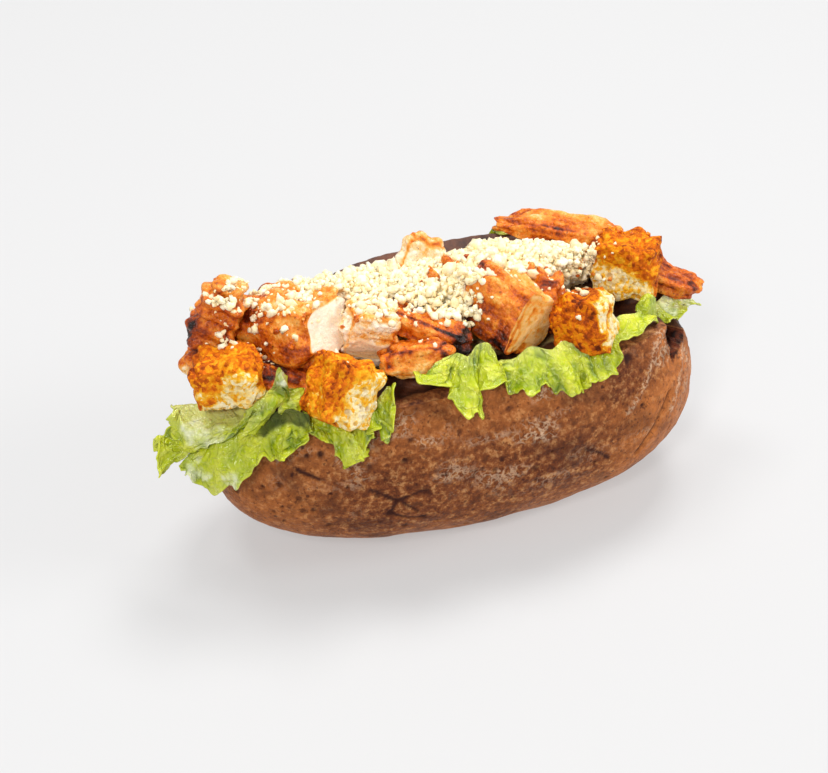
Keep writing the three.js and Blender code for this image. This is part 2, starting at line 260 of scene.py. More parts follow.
def speckled(material, stops, *noise):
    """Speckles that run through the colours of the stops."""
    return add_node(material, "ValToRGB", [speckle(material, *noise)], stops=stops)


def flecks(material, low, high, *noise):
    """Flecks where a speckle is high: 0 where it is below `low`, 1 where it is above `high`."""
    return speckled(material, {low: "#000000", high: "#ffffff"}, *noise)


def granules(material, size, seed=0.0):
    """Packed granules about `size` millimetres across: how far a place is from its granule's
    middle, and a random number for each granule."""
    place = add_node(material, "TexCoord", output="Object")
    links = (place, seed, 1 / (size * MILLIMETRE))
    away = add_node(material, "TexVoronoi", links, "Distance", voronoi_dimensions="4D")
    return away, away.node.outputs["Color"]


def creases(material, size, seed=0.0):
    """Thin lines along which noise crosses its middle: 1 on a line, 0 away from it."""
    noise = speckle(material, size, 2.5, 0.55, seed)
    centred = add_node(material, "Math", (noise, 0.5), operation="SUBTRACT")
    away = add_node(material, "Math", [centred], operation="ABSOLUTE")
    return add_node(material, "Math", (away, -22.0, 1.0), operation="MULTIPLY_ADD", use_clamp=True)


def spread_mark(material, mark, noise, amount):
    """The mark with noise added: mark + amount * (noise - 0.5)."""
    centred = add_node(material, "Math", (noise, 0.5), operation="SUBTRACT")
    links = (centred, amount, mark)
    return add_node(material, "Math", links, operation="MULTIPLY_ADD", use_clamp=True)


def tinted(material, colour, tint, mark, share=None):
    """The colour, turned to the tint as the mark times the share rises to 1."""
    if share is not None:
        mark = add_node(material, "Math", (mark, share), operation="MULTIPLY")
    return add_node(material, "Mix", {0: mark, 6: colour, 7: tint}, 2, data_type="RGBA")


def finish_material(material, colour, roughness, height=None, depth=0.1, soaks=0.0, soak_depth=1.0,
                    **sockets):
    """Joins a colour, a roughness and a bump of `depth` millimetres into one shader. `soaks` is
    how much light enters it and `soak_depth` how far that goes, in millimetres. The rest are the
    shader's sockets by name, with an underscore for each space."""
    links = {"Base Color": colour, "Roughness": roughness, "Subsurface Weight": soaks,
             "Subsurface Scale": soak_depth * MILLIMETRE}
    links.update({name.replace("_", " "): value for name, value in sockets.items()})
    if height is not None:
        bump = {"Height": height, "Strength": 1.0, "Distance": depth * MILLIMETRE}
        links["Normal"] = add_node(material, "Bump", bump)
    add_node(material, "OutputMaterial", [add_node(material, "BsdfPrincipled", links)], None)
    return material


print("white in linear light:", linear("#ffffff"))

# %% [markdown]
# ## The potato's form
#
# A baked potato is an egg drawn long: seen from above its outline is blunter than an ellipse, and
# so is its section. Sculpting would do, but a formula keeps the opening exact. At each place along
# it the section is a blunt ellipse whose upper half is stretched upwards where the slit has been
# pulled open, more on the far side than on the near one. The two lips are the angles where the
# skin stops.

# %% The potato's section and skin, worked out from a few sizes
HALF_LENGTH = 83.0  # half of its length
HALF_WIDTH = 40.5  # half of its width
BELLY = 34.8  # from its widest line down to its bottom
FLAT = 1.2  # how far the bottom is pressed flat
END_RISE = 2.6  # how much higher the widest line runs at the ends
ENDS = 2.45  # bluntness of the outline seen from above, 2 is an ellipse
SECTION = 2.2  # bluntness of the section
WIDER_RIGHT = 0.07  # how much wider the right half is, as a part of the width
DEEPER_RIGHT = 0.04  # the same for the belly
SLIT_MIDDLE, SLIT_REACH = -1.0, 81.0  # its middle along x, and how far it reaches from there
SLIT = 53.0  # half of the opening, in degrees round the section, at mid-length
NARROWEST_SLIT = 1.5  # the same at both ends
SLIT_TURN = -16  # how far the slit turns towards the near side at the right end, in degrees
NEAR_LIFT = 0.38  # how much the opened near wall stands up, part of the belly
FAR_LIFT = 0.94  # the same for the far wall
WAVE = 0.006  # how far two slow waves swell the wall, as a part of its size
FILLING_DEPTH = 5.0  # from the line between the lips down to the flesh


def blunt(value, bluntness):
    """A sine or cosine raised to a power that keeps its sign, which makes a circle blunter."""
    return np.sign(value) * np.abs(value) ** (2 / bluntness)


def station(x):
    """The section at each x: half width, wall height, height of the widest line, how open the
    slit is from 0 to 1, and the angles of the near and the far lip from the top."""
    s = np.clip(x / HALF_LENGTH, -1, 1)
    size = np.maximum(1 - np.abs(s) ** ENDS, 0) ** (1 / ENDS)
    opening = np.sqrt(np.maximum(1 - ((x - SLIT_MIDDLE) / SLIT_REACH) ** 4, 0))
    half = NARROWEST_SLIT + (SLIT - NARROWEST_SLIT) * opening
    shift = SLIT_TURN * smooth(x, 66, 80)
    return {
        "width": HALF_WIDTH * size * (1 + WIDER_RIGHT * s),
        "drop": BELLY * size * (1 + DEEPER_RIGHT * s),
        "middle": BELLY - FLAT + END_RISE * s * s,
        "open": opening,
        "near": np.radians(shift - half),
        "far": np.radians(shift + half),
    }


def skin(x, angle):
    """A point of the skin at x and an angle round the section, from the top: the blunt ellipse,
    stretched upwards above its widest line, swollen by two slow waves, flat where it rests."""
    x, angle = np.broadcast_arrays(x, angle)
    at = station(x)
    y = at["width"] * blunt(np.sin(angle), SECTION)
    up = blunt(np.cos(angle), SECTION)
    across = 0.5 + 0.5 * y / np.maximum(at["width"], 1e-6)
    lift = lerp(NEAR_LIFT, FAR_LIFT, smooth(across, 0, 1))
    height = np.where(up > 0, at["drop"] * (1 + at["open"] * lift), at["drop"])
    wave = np.sin(x / 11 + 2 * angle) + np.sin(x / 6.5 - 3 * angle + 1)
    swell = 1 + WAVE * wave * smooth(at["middle"] + height * up, 2, 14)
    z = np.maximum(at["middle"] + height * up * swell, 0)
    return np.stack([x, y * swell, z], axis=-1)


low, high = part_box("potato")
mid_length = skin(0.0, np.radians(np.arange(360)))
print("solid is", round((high.x - low.x) / MILLIMETRE, 1), "mm long; at mid-length",
      np.round(np.ptp(mid_length, axis=0)[1:], 1), "mm wide and high")

# %% [markdown]
# ## The potato's skin
#
# Baking shrinks the skin on to the flesh: it gets shallow dents, fine crumpling near the lips,
# small sunken eyes, thin dark cracks, and at the right end the slit has torn on down the near
# wall. A painted texture or a sculpt could show these. Here they are a height above the plain skin
# for each point of the grid, added along the normal, and the deep and thin places are marked so
# that the material can darken them. Inside the tear that darkness is painted shade.

# %% Where the eyes, cracks, folds and the tear are, as x and degrees from the top
# Each eye has its radius as well, and each fold has its rise and its width after its line.
# The eye at x 48.3 is painted shade: a dark spot for the gap between the near lip and the leaf
# above it.
EYES = [(-65, -76, 2.0), (-73, -84, 1.4), (-54, -87, 1.3), (-49, -84, 1.1), (-31, -75, 2.2),
        (-18, -84, 1.8), (-36, -100, 2.2), (22, -85, 1.6), (18, -85, 1.1), (-68, -97, 1.2),
        (34, -97, 1.3), (52, -78, 1.5), (5, -104, 1.5), (-20, -112, 1.3), (58, -118, 1.7),
        (-45, 110, 2.0), (-10, 85, 1.8), (25, 98, 2.1), (48.3, -54, 3.2), (-56, -66, 2.4),
        (-60, -65, 1.5), (50, 75, 1.6), (-30, 78, 1.4), (8, 125, 1.7), (-62, 92, 1.5)]
CRACKS = [[(-42, -86), (-34, -92), (-32, -91), (-27, -89), (-24, -89)],
          [(-34, -92), (-36, -100), (-31, -104), (-25, -105)], [(-32, -93), (-27, -100)],
          [(-63, -73), (-57, -79)], [(30, -88), (36, -92), (39, -97)],
          [(-5, 95), (3, 99), (12, 97)], [(40, 88), (47, 95)], [(-50, 84), (-41, 88), (-36, 86)]]
FOLDS = [([(67, -36), (60, -50), (55, -64), (51, -72), (46, -78)], 0.7, 1.6),
         ([(64, -78), (57, -90), (53, -96), (50, -102)], -0.9, 1.3),
         ([(72, -60), (69, -74), (64, -88)], 0.5, 1.8),
         ([(70, 60), (62, 75), (52, 84)], 0.5, 2.0),
         ([(-70, 58), (-62, 74), (-52, 80)], -0.4, 2.0)]
TEAR = np.array([[67.5, -25, 52.5], [66, -18, 66], [82, -8, 53]], float)  # corners on the skin
TEAR_IN = np.array([-6, 11, -2]) / 12.7  # the way into it, about 1 long
TEAR_DEPTH = 11.0
SKIN_ROWS, SKIN_COLUMNS, FLESH_COLUMNS = 290, 326, 72


def distance_to_line(points, line):
    """Distance from each point to a line of straight stretches laid on the skin."""
    corners = [skin(float(x), np.radians(float(angle))) for x, angle in line]
    best = np.full(len(points), 1e9)
    for start, end in zip(corners, corners[1:]):
        way = end - start
        t = np.clip((points - start) @ way / (way @ way), 0, 1)
        best = np.minimum(best, np.linalg.norm(points - start - t[:, None] * way, axis=1))
    return best


def inside_tear(points):
    """How far each point is inside the tear in millimetres, below 0 outside: the smallest distance
    from the triangle's three sides, seen along the way in, made ragged."""
    a, b, c = TEAR
    inside = np.full(len(points), 99.0)
    for start, end, other in ((a, b, c), (b, c, a), (c, a, b)):
        sideways = np.cross(end - start, TEAR_IN)
        sideways /= np.linalg.norm(sideways) * np.sign((other - start) @ sideways)
        inside = np.minimum(inside, (points - start) @ sideways)
    ragged = 1.5 * crags(points, 3.2, 3, 71)
    near_right = (points[:, 1] < -4) & (points[:, 0] > 50)
    return np.where(near_right, inside + ragged, -99.0)


def skin_relief(points, side):
    """Height of the skin above its plain form, and marks for what is dark and for what is paler,
    partly as thin flakes and partly as painted glints. Dents, leathery crumples and fine wrinkles
    come first, then pits, eyes and cracks, which are dark, then folds: a raised one gets flakes and
    painted glints along its top, and a sunken one is dark."""
    leathery = 0.35 + 0.65 * smooth(side, 0.55, 0.95)
    height = 0.55 * crags(points, 24, 2, 1) + 0.22 * crags(points, [11, 6, 6], 3, 5)
    crumple = ridges(points, [5, 3.2, 3.2], 11) + 0.5 * lumps(points, 1.9, 12)
    height += 0.12 * leathery * crumple
    wrinkle = ridges(points, [4.2, 1.8, 1.8], 14) + 0.6 * ridges(points, 1.3, 15)
    height += (0.05 + 0.13 * smooth(side, 0.6, 0.9)) * wrinkle
    dark = 0.45 * smooth(-crags(points, [13, 8, 8], 3, 21), 0.15, 0.9)
    first, _, number = spots(points, 5.5, 31)
    pit = smooth(0.16 + 0.1 * number - first, 0, 0.1) * (number > 0.55)
    height -= 0.3 * pit
    dark = np.maximum(dark, 0.75 * pit)
    for x, angle, radius in EYES:
        middle = skin(float(x), np.radians(angle))
        distance = np.linalg.norm(points - middle, axis=1) / (0.75 * radius)
        ragged = distance + 0.35 * lumps(points, 1.4, 41)
        height -= 0.55 * smooth(ragged, 1.3, 0.2)
        dark = np.maximum(dark, smooth(ragged, 1.0, 0.35))
    for line in CRACKS:
        distance = distance_to_line(points, line) + 0.5 * lumps(points, 2.5, 51)
        height -= 0.3 * smooth(distance, 0.9, 0.1)
        dark = np.maximum(dark, smooth(distance, 0.85, 0.2))
    # Pale flakes and painted glints near the lips, and along the tops of raised folds below.
    scuffed = smooth(crags(points, [16, 7, 7], 2, 13), 0.0, 0.7) * smooth(side, 0.5, 0.85)
    for line, rise, width in FOLDS:
        distance = distance_to_line(points, line) / width
        height += rise * smooth(distance, 1.5, 0)
        dark = np.maximum(dark, 0.7 * smooth(distance, 0.8, 0) * (rise < 0))
        scuffed = np.maximum(scuffed, 0.9 * smooth(distance, 1.1, 0.2) * (rise > 0))
    return height, dark, scuffed


print(len(EYES), "eyes,", len(CRACKS), "cracks and", len(FOLDS), "folds")

# %% The skin and the flesh between its lips
v = np.linspace(1e-5, 1 - 1e-5, SKIN_ROWS)  # just short of the tips, where the section has no size
length_way = -HALF_LENGTH * np.cos(np.pi * v) * (1 - 0.06 * np.sin(np.pi * v) ** 2)
lips = station(length_way)
round_way = np.linspace(0, 1, SKIN_COLUMNS)
angles = lerp(lips["far"][:, None], lips["near"][:, None] + 2 * np.pi, round_way)
plain_skin = skin(length_way[:, None], angles)
side_of_skin = np.abs(2 * round_way - 1) * np.ones_like(angles)
outwards = grid_normals(plain_skin).reshape(-1, 3)
points = plain_skin.reshape(-1, 3)
relief, dark, scuffed = skin_relief(points, side_of_skin.ravel())
relief *= smooth(points[:, 2], 0.2, 5) * smooth(np.abs(points[:, 0]), HALF_LENGTH, HALF_LENGTH - 3)
tear = inside_tear(points)
torn = smooth(tear, 0, 1.1)
skin_points = points + outwards * relief[:, None] + TEAR_DEPTH * torn[:, None] * TEAR_IN
skin_grid = skin_points.reshape(SKIN_ROWS, SKIN_COLUMNS, 3)

flesh_way = np.linspace(0, 1, FLESH_COLUMNS)
near_edge, far_edge = skin_grid[:, -1][:, None], skin_grid[:, 0][:, None]
flesh = lerp(near_edge, far_edge, flesh_way[None, :, None])
sunk = 1 - np.abs(2 * flesh_way - 1) ** 1.6
flesh[..., 2] -= FILLING_DEPTH * lips["open"][:, None] * sunk
fluff = crags(flesh.reshape(-1, 3), [9, 4, 4], 4, 61).reshape(flesh.shape[:2])
flesh[..., 2] += fluff * smooth(sunk, 0, 0.3) * lips["open"][:, None]
# Painted shade, partly browning: dark brown along the flesh's edges and towards its right end,
# where it shows in the gaps between the toppings.
browned = smooth(np.abs(2 * flesh_way - 1) + 0.15 * fluff, 0.25, 0.5)
browned = np.maximum(browned, smooth(length_way, 38, 52)[:, None])
print("tear takes up", int(torn.sum()), "points")
print("relief is", np.round(relief.min(), 2), "to", np.round(relief.max(), 2), "mm high")


# %% [markdown]
# ## Baked skin and baked flesh
#
# Potato skin dries to thin leather in the oven. It is mid brown with finer speckles and dots, and
# dark where it has sunk or cracked. The tan near the resting edge is painted bounce light from
# below, the tan at both ends is painted light, and it is tan along the lips as well. It is nearly
# matt, but ridges and creases near the lips are paler and smoother, so they catch the light; the
# paler colour is partly thin flakes of skin and partly painted glints. The flesh is soft and pale,
# and its dark brown edges are partly browning and partly painted shade in the gaps.


# %% The two finishes, and the potato's two pieces
def baked_skin():
    """Dry leathery potato skin. Two sizes of speckle make its brown, and tan, partly painted light,
    flecks, dots, lines, pale flakes with painted glints, and dark places lie over that in turn. The
    wall of the tear is painted shade, dark and uneven."""
    material = blank("baked_potato_skin")
    broad = {0.34: "#57290e", 0.46: "#78401b", 0.56: "#8c4f25", 0.68: "#a66e3c"}
    broad = speckled(material, broad, 13, 5.0, 0.6)
    fine = {0.4: "#2e0f08", 0.47: "#713618", 0.53: "#94562a", 0.61: "#d69b62"}
    fine = speckled(material, fine, 2.4, 8.0, 0.72, 3.0)
    colour = tinted(material, broad, fine, 0.62)
    patchy = (speckle(material, 5.0, 6.0, 0.7, 17.0), 1.7, -0.2)
    patchy = add_node(material, "Math", patchy, operation="MULTIPLY_ADD", use_clamp=True)
    # Painted light, in part: tan near the resting edge and at both ends.
    colour = tinted(material, colour, "#cd7a3a", "tan", patchy)
    dark_flecks = flecks(material, 0.57, 0.65, 1.1, 3.0, 0.6, 7.0)
    colour = tinted(material, colour, "#431a0c", dark_flecks, 0.65)
    away, number = granules(material, 3.6, 5.0)
    uneven = add_node(material, "Math", (number, 0.28, away), operation="MULTIPLY_ADD")
    dots = add_node(material, "ValToRGB", [uneven], stops={0.22: "#ffffff", 0.3: "#000000"})
    colour = tinted(material, colour, "#3a140a", dots, 0.75)
    colour = tinted(material, colour, "#4a1d0d", creases(material, 7.0, 11.0), 0.3)
    # Painted glints, partly thin flakes of skin: pale flecks and lines near the lips, smoother too.
    flake_and_glint_flecks = ("scuffed", flecks(material, 0.52, 0.62, 1.5, 3.0, 0.6, 9.0))
    flake_and_glint_flecks = add_node(material, "Math", flake_and_glint_flecks, operation="MULTIPLY")
    flake_and_glint_lines = ("scuffed", creases(material, 4.0, 13.0))
    flake_and_glint_lines = add_node(material, "Math", flake_and_glint_lines, operation="MULTIPLY")
    scuff = add_node(material, "Math", (flake_and_glint_flecks, flake_and_glint_lines), operation="MAXIMUM")
    colour = tinted(material, colour, "#e0bb98", scuff, 0.75)
    colour = tinted(material, colour, "#341109", "dark", 0.95)
    # Painted shade: the wall of the tear, and a thin rim round it, are near black.
    wall = speckled(material, {0.42: "#1a0705", 0.62: "#6a2f18"}, 2.5, 4.0, 0.6, 15.0)
    colour = tinted(material, colour, wall, "torn")
    height = (flake_and_glint_lines, 0.3, speckle(material, 1.8, 5.0, 0.65, 5.0))
    height = add_node(material, "Math", height, operation="MULTIPLY_ADD")
    roughness = add_node(material, "Math", (scuff, -0.22, 0.5), operation="MULTIPLY_ADD")
    return finish_material(material, colour, roughness, height, depth=1.0, Specular_IOR_Level=0.16)


def baked_flesh():
    """Soft potato: pale yellow, and brown along its edges and the lip. Along the edges that brown
    is partly browning and partly painted shade.
    """
    material = blank("baked_potato_flesh")
    pale = speckled(material, {0.35: "#d9b868", 0.65: "#efd692"}, 2.5)
    # Painted shade, partly browning: the dark brown of the flesh's edges.
    brown = speckled(material, {0.35: "#2c120a", 0.65: "#6b3a1f"}, 6, 5.0, 0.62)
    lip = {0.37: "#42180a", 0.5: "#8f5228", 0.64: "#c98f58"}
    lip = speckled(material, lip, 3.2, 8.0, 0.72, 3.0)
    colour = tinted(material, tinted(material, pale, brown, "browned"), lip, "rim")
    return finish_material(material, colour, 0.6, speckle(material, 1.2), depth=0.4)


x, _, z = points.T
# Painted light: tan near the resting edge, like bounce light from below, and at both ends. It is
# tan along the lips too, but not high on the wall between x 34 and 68.
tan = 0.9 * smooth(z, 26, 4) + 1.1 * smooth(x, 30, 58) + 0.6 * smooth(x, -40, -72)
tan += 0.6 * smooth(side_of_skin.ravel(), 0.75, 0.95)
tan -= 1.4 * smooth(x, 34, 46) * smooth(x, 68, 58) * smooth(z, 44, 54)
skin_quads, flesh_quads = grid_quads(SKIN_ROWS, SKIN_COLUMNS), grid_quads(SKIN_ROWS, FLESH_COLUMNS)
# The torn mark, painted as shade, reaches a little past the edge of the tear.
finish_piece("baked_skin", skin_points, skin_quads, baked_skin(), "skin", ["potato"],
             dark=dark, scuffed=scuffed, torn=smooth(tear, -0.9, -0.2), tan=np.clip(tan, 0, 1))
lip = smooth(1 - 2 * flesh_way + 0.05 * fluff, 0.78, 0.9)
finish_piece("baked_flesh", flesh.reshape(-1, 3), flesh_quads, baked_flesh(), "flesh", ["potato"],
             browned=browned, rim=lip)

# %% [markdown]
# ## Blocks: croutons and pieces of chicken
#
# Both were cut by a knife, so both start as a block with rounded edges. A cube could be bevelled
# and sculpted; here the six faces of a cube are grids, welded at their edges and pulled in
# towards a rounded form, which keeps the points evenly spread for the relief that follows.


# %% A block with rounded edges
def cube_net(cells):
    """The six faces of a cube from -1 to 1 as one welded net: its points and its quads."""
    points, quads, count = [], [], 0
    for axis in range(3):
        second, third = (axis + 1) % 3, (axis + 2) % 3
        for side in (-1, 1):
            face = np.empty((cells[second] + 1, cells[third] + 1, 3))
            face[..., axis] = side
            face[..., second] = np.linspace(-1, 1, cells[second] + 1)[:, None]
            face[..., third] = np.linspace(-1, 1, cells[third] + 1)
            squares = grid_quads(*face.shape[:2]) + count
            quads.append(squares if side > 0 else squares[:, ::-1])
            points.append(face.reshape(-1, 3))
            count += len(points[-1])
    points = np.concatenate(points)
    whole = np.round(points * 1e6).astype(np.int64)
    _, first, place = np.unique(whole, axis=0, return_index=True, return_inverse=True)
    return points[first], place.ravel()[np.concatenate(quads)]


def turned(turn):
    """Rotation for a turn of roll, pitch and yaw in degrees: roll first, then pitch, then yaw."""
    (sx, cx), (sy, cy), (sz, cz) = ((np.sin(a), np.cos(a)) for a in np.radians(turn))
    roll = np.array([[1, 0, 0], [0, cx, -sx], [0, sx, cx]])
    pitch = np.array([[cy, 0, sy], [0, 1, 0], [-sy, 0, cy]])
    yaw = np.array([[cz, -sz, 0], [sz, cz, 0], [0, 0, 1]])
    return yaw @ pitch @ roll


def block(at, half, turn, cell, bluntness, taper=0.0, bend=0.0, rough=0.05):
    """A rounded block. Each point of the cube is pulled in to the surface where the sum of its
    coordinates' powers is one, swollen by three waves, scaled, bent, turned and moved. Gives the
    net's own points, those in the block's own directions and those in place, and the quads."""
    half = np.asarray(half, float)
    net, quads = cube_net([max(8, int(2 * h / cell)) for h in half])
    x, y, z = net.T
    norm = np.sum(np.abs(net) ** bluntness, axis=1) ** (1 / bluntness)
    wave = np.sin(5 * x + 3 * y + at[0]) + np.sin(4 * z - 6 * y + at[1]) + np.sin(7 * x * z + at[2])
    size = (1 / norm) * (1 + rough * wave)
    narrow = 1 - taper * (x * 0.5 + 0.5)
    own = net * size[:, None] * half * np.stack([np.ones_like(narrow), narrow, narrow], axis=1)
    own[:, 2] += bend * (x * x - 0.4)
    return net, own, own @ turned(turn).T + at, quads


net, quads = cube_net((2, 2, 2))
print("a cube of two cells each way has", len(net), "points and", len(quads), "quads")

# %% [markdown]
# ## Croutons
#
# Cubes of white bread, tossed in oil and toasted. The outside is coarse and golden to rust
# coloured, while the cut sides stay paler and show the crumb's holes. The holes are spots of
# random size pressed into the surface; the toast is a mark that rises away from the pale side,
# along the edges and wherever the surface stands out.

# %% The croutons
# Each has its place, half size and turn, the way its pale side faces and where that starts, and
# how toasted its crust and its crumb are.
CROUTONS = {
    "crouton_1": dict(
        at=(-79, -11, 75), half=(10, 8.5, 7.5), turn=(-4, -8, -21),
        pale=(0.35, -1, -0.55), reach=0.87, toast=0.57, crumb=0.17),
    "crouton_2": dict(
        at=(-47, -26, 71), half=(9, 9, 10), turn=(-16, 32, 3),
        pale=(0.5, -1, -0.25), reach=0.8, toast=0.47, crumb=0.17),
    "crouton_3": dict(
        at=(36, -23, 73), half=(9, 8.5, 9.5), turn=(-20, -15, -38),
        pale=(1, 0.1, 0.15), reach=0.84, toast=0.63, crumb=0.12),
    "crouton_4": dict(
        at=(61, -2, 76), half=(10, 10, 9.5), turn=(-11, 0, -38),
        pale=(-0.1, -1, -0.5), reach=0.82, toast=0.58, crumb=0.16),
}
CROUTON_CELL, CROUTON_BLUNTNESS = 0.38, 6.0
CHICKEN_CELL, CHICKEN_BLUNTNESS = 0.46, 3.5


def toasted_bread():
    """Toasted white bread: dry, matt and porous, with oil that darkened the tips. The mark for
    toast, made uneven by speckles and granules, runs through all the colours of toasting."""
    material = blank("toasted_bread")
    toast = spread_mark(material, "toast", speckle(material, 1.4, 4.0, 0.65), 0.55)
    away, number = granules(material, 1.3)
    toast = spread_mark(material, toast, number, 0.42)
    colour = add_node(material, "ValToRGB", [toast], stops={
        0.0: "#ffedc2", 0.15: "#fcdc8c", 0.28: "#f7b728", 0.45: "#ef9508", 0.62: "#db6e03",
        0.78: "#b04a04", 0.92: "#6b2804",
    })
    colour = tinted(material, colour, "#b0701f", "hole", 0.4)
    height = (away, -0.9, speckle(material, 0.7, 3.0, 0.6, 2.0))
    height = add_node(material, "Math", height, operation="MULTIPLY_ADD")
    return finish_material(material, colour, 0.6, height, depth=0.75, soaks=0.04, soak_depth=1.2,
                           Specular_IOR_Level=0.15)


bread = toasted_bread()
for order, (name, crouton) in enumerate(CROUTONS.items()):
    where = crouton["at"], crouton["half"], crouton["turn"]
    net, own, placed, quads = block(*where, CROUTON_CELL, CROUTON_BLUNTNESS)
    seed = 100 + 10 * order
    pale_way = net @ np.array(crouton["pale"]) + 0.35 * lumps(own, 4.5, seed)
    pale = smooth(pale_way, crouton["reach"] - 0.1, crouton["reach"] + 0.15)
    first, _, number = spots(own, 2.7, seed + 1)
    hole = smooth(0.18 + 0.3 * number - first, 0, 0.14) * lerp(0.35, 1, pale)
    small, _, number = spots(own, 1.25, seed + 2)
    hole = np.maximum(hole, 0.5 * smooth(0.2 + 0.2 * number - small, 0, 0.15))
    crust = crags(own, 2.4, 4, seed + 3)
    corner = smooth(np.sum(np.abs(net) ** 6, axis=1), 1.4, 2.6)
    grit = lumps(own, 1.1, seed + 6)
    height = (0.3 * crust + 0.22 * grit) * lerp(1.0, 0.6, pale) * (1 - 0.7 * corner)
    height = height - 0.8 * hole - 0.25 * corner
    outside = crouton["toast"] + 0.12 * crust + 0.1 * corner
    toast = lerp(outside, crouton["crumb"] + 0.1 * crust, pale) - 0.08 * grit
    toast += 0.22 * smooth(crags(own, 6, 2, seed + 5), -0.1, 0.9) * (1 - pale)
    crouton["points"] = placed + quad_normals(placed, quads) * height[:, None]
    finish_piece(name + "_toasted", crouton["points"], quads, bread, "crust", [name],
                 toast=np.clip(toast, 0, 1), hole=hole * pale)

# %% [markdown]
# ## Grilled chicken
#
# Breast meat, seasoned, grilled and then cut into pieces. The outside is golden to rust coloured
# with charred edges; where the knife went through, the meat is cream coloured and shows its
# grain. So each piece is a block with a grain along its own long side, a crust of small crags
# wherever it isn't cut, and one mark for how far it is seared, which rises towards one side and
# along its edges.

# %% The pieces of chicken
# Each has its place, half size and turn, how far it is seared, the way it gets darker and by how
# much, and the same for its edges. Some taper or bend, have ridges so far apart and so tall, have
# a taller grain, or have a knife cut: the way it faces, how far out it lies, and how dark it is.
CHICKEN = {
    "chicken_knob": dict(
        at=(-76, 6, 86), half=(7, 7.5, 11.5), turn=(-14, 20, -40),
        sear=0.56, darker=(-0.2, -0.1, -1), gain=0.18, ridges=(5.2, 0.8)),
    "chicken_slab": dict(
        at=(-54, 2, 78), half=(17, 12, 11.5), turn=(-8, -9, -51), taper=-0.1,
        sear=0.5, darker=(-0.5, -0.2, -0.6), gain=0.16, cut=(0.97, -0.13, 0.2), reach=15.3),
    "chicken_low": dict(
        at=(-69, -4, 69.5), half=(20.5, 9, 6), turn=(3, 5, -31),
        sear=0.36, darker=(0, 0.2, 1), gain=0.27),
    "chicken_white": dict(
        at=(-31, -8, 78), half=(9, 8, 9.5), turn=(-5, 11, -19),
        sear=0.13, darker=(0.3, 0, 1), gain=0.06, edges=0.24, grain=0.8,
        cut=(0, -1, -0.4), reach=7.2, tone=0.07),
    "chicken_strip": dict(
        at=(-14, -13, 78), half=(14.5, 6.5, 4.5), turn=(-9, 15, -39),
        sear=0.64, darker=(0.4, 0, -0.5), gain=0.16, edges=0.3, grain=0.5),
    "chicken_wedge": dict(
        at=(-21, -22, 74), half=(11, 6, 5), turn=(-16, -6, -17),
        sear=0.44, darker=(-0.5, 0, 0.8), gain=0.16, edges=0.22, grain=0.35),
    "chicken_chunk": dict(
        at=(12.5, -12.5, 78), half=(15, 10, 11), turn=(-32, 16, -61),
        sear=0.5, darker=(-0.3, -0.4, -0.8), gain=0.18, grain=0.35,
        cut=(0.96, -0.24, 0.12), reach=11.3, tone=0.24),
    "chicken_back": dict(
        at=(46, 18.5, 81), half=(20, 8, 4.5), turn=(2, -6, 148), taper=0.35, bend=-2,
        sear=0.38, darker=(0.6, 0.2, 0.2), gain=0.12, grain=0.45),
    "chicken_end": dict(
        at=(76, 1, 66), half=(13, 8, 5), turn=(-6, 12, -36), taper=0.35,
        sear=0.6, darker=(0.5, 0, 0.2), gain=0.08, ridges=(4.2, 0.5)),
    "chicken_upright": dict(
        at=(-5, 14, 86), half=(7, 3, 7), turn=(-20, 28, -17),
        sear=0.07, darker=(-0.3, 0, 0.8), gain=0.12, edges=0.3),
    "chicken_crumb": dict(
        at=(27, -13, 77), half=(6, 5.5, 8.5), turn=(-15, -11, -26), rough=0.1,
        sear=0.6, darker=(0, 0, -1), gain=0.1),
}


def grilled_chicken():
    """Grilled chicken breast: moist, so it shines softly, with dry spices and char on top. The
    mark for sear, made uneven where there is a crust, runs from cream through rust to black."""
    material = blank("grilled_chicken")
    uneven = add_node(material, "Math", ("crust", 0.85, 0.1), operation="MULTIPLY_ADD")
    sear = spread_mark(material, "sear", speckle(material, 1.7, 7.0, 0.72), uneven)
    colour = add_node(material, "ValToRGB", [sear], stops={
        0.0: "#fff0d8", 0.14: "#fcdaa8", 0.28: "#f5b45a", 0.41: "#ee9330", 0.54: "#de7214",
        0.66: "#b84e0e", 0.78: "#7c2c0a", 0.9: "#3a1408", 1.0: "#190a06",
    })
    spice = (flecks(material, 0.63, 0.7, 0.9, 2.0, 0.5, 4.0), "crust")
    spice = add_node(material, "Math", spice, operation="MULTIPLY")
    colour = tinted(material, colour, "#6e2c14", spice, 0.6)
    away, _ = granules(material, 1.1, 6.0)
    grit = add_node(material, "Math", (away, "crust"), operation="MULTIPLY")
    grit = add_node(material, "Math", (grit, -0.7), operation="MULTIPLY")
    fine = (speckle(material, 1.0, 4.0, 0.65, 8.0), grit)
    fine = add_node(material, "Math", fine, operation="ADD")
    wet = (speckle(material, 2.6, 2.0, 0.5, 9.0), 0.9, -0.2)
    wet = add_node(material, "Math", wet, operation="MULTIPLY_ADD", use_clamp=True)
    return finish_material(material, colour, wet, fine, depth=0.6, soaks=0.05, soak_depth=1.5,
                           Specular_IOR_Level=0.35)


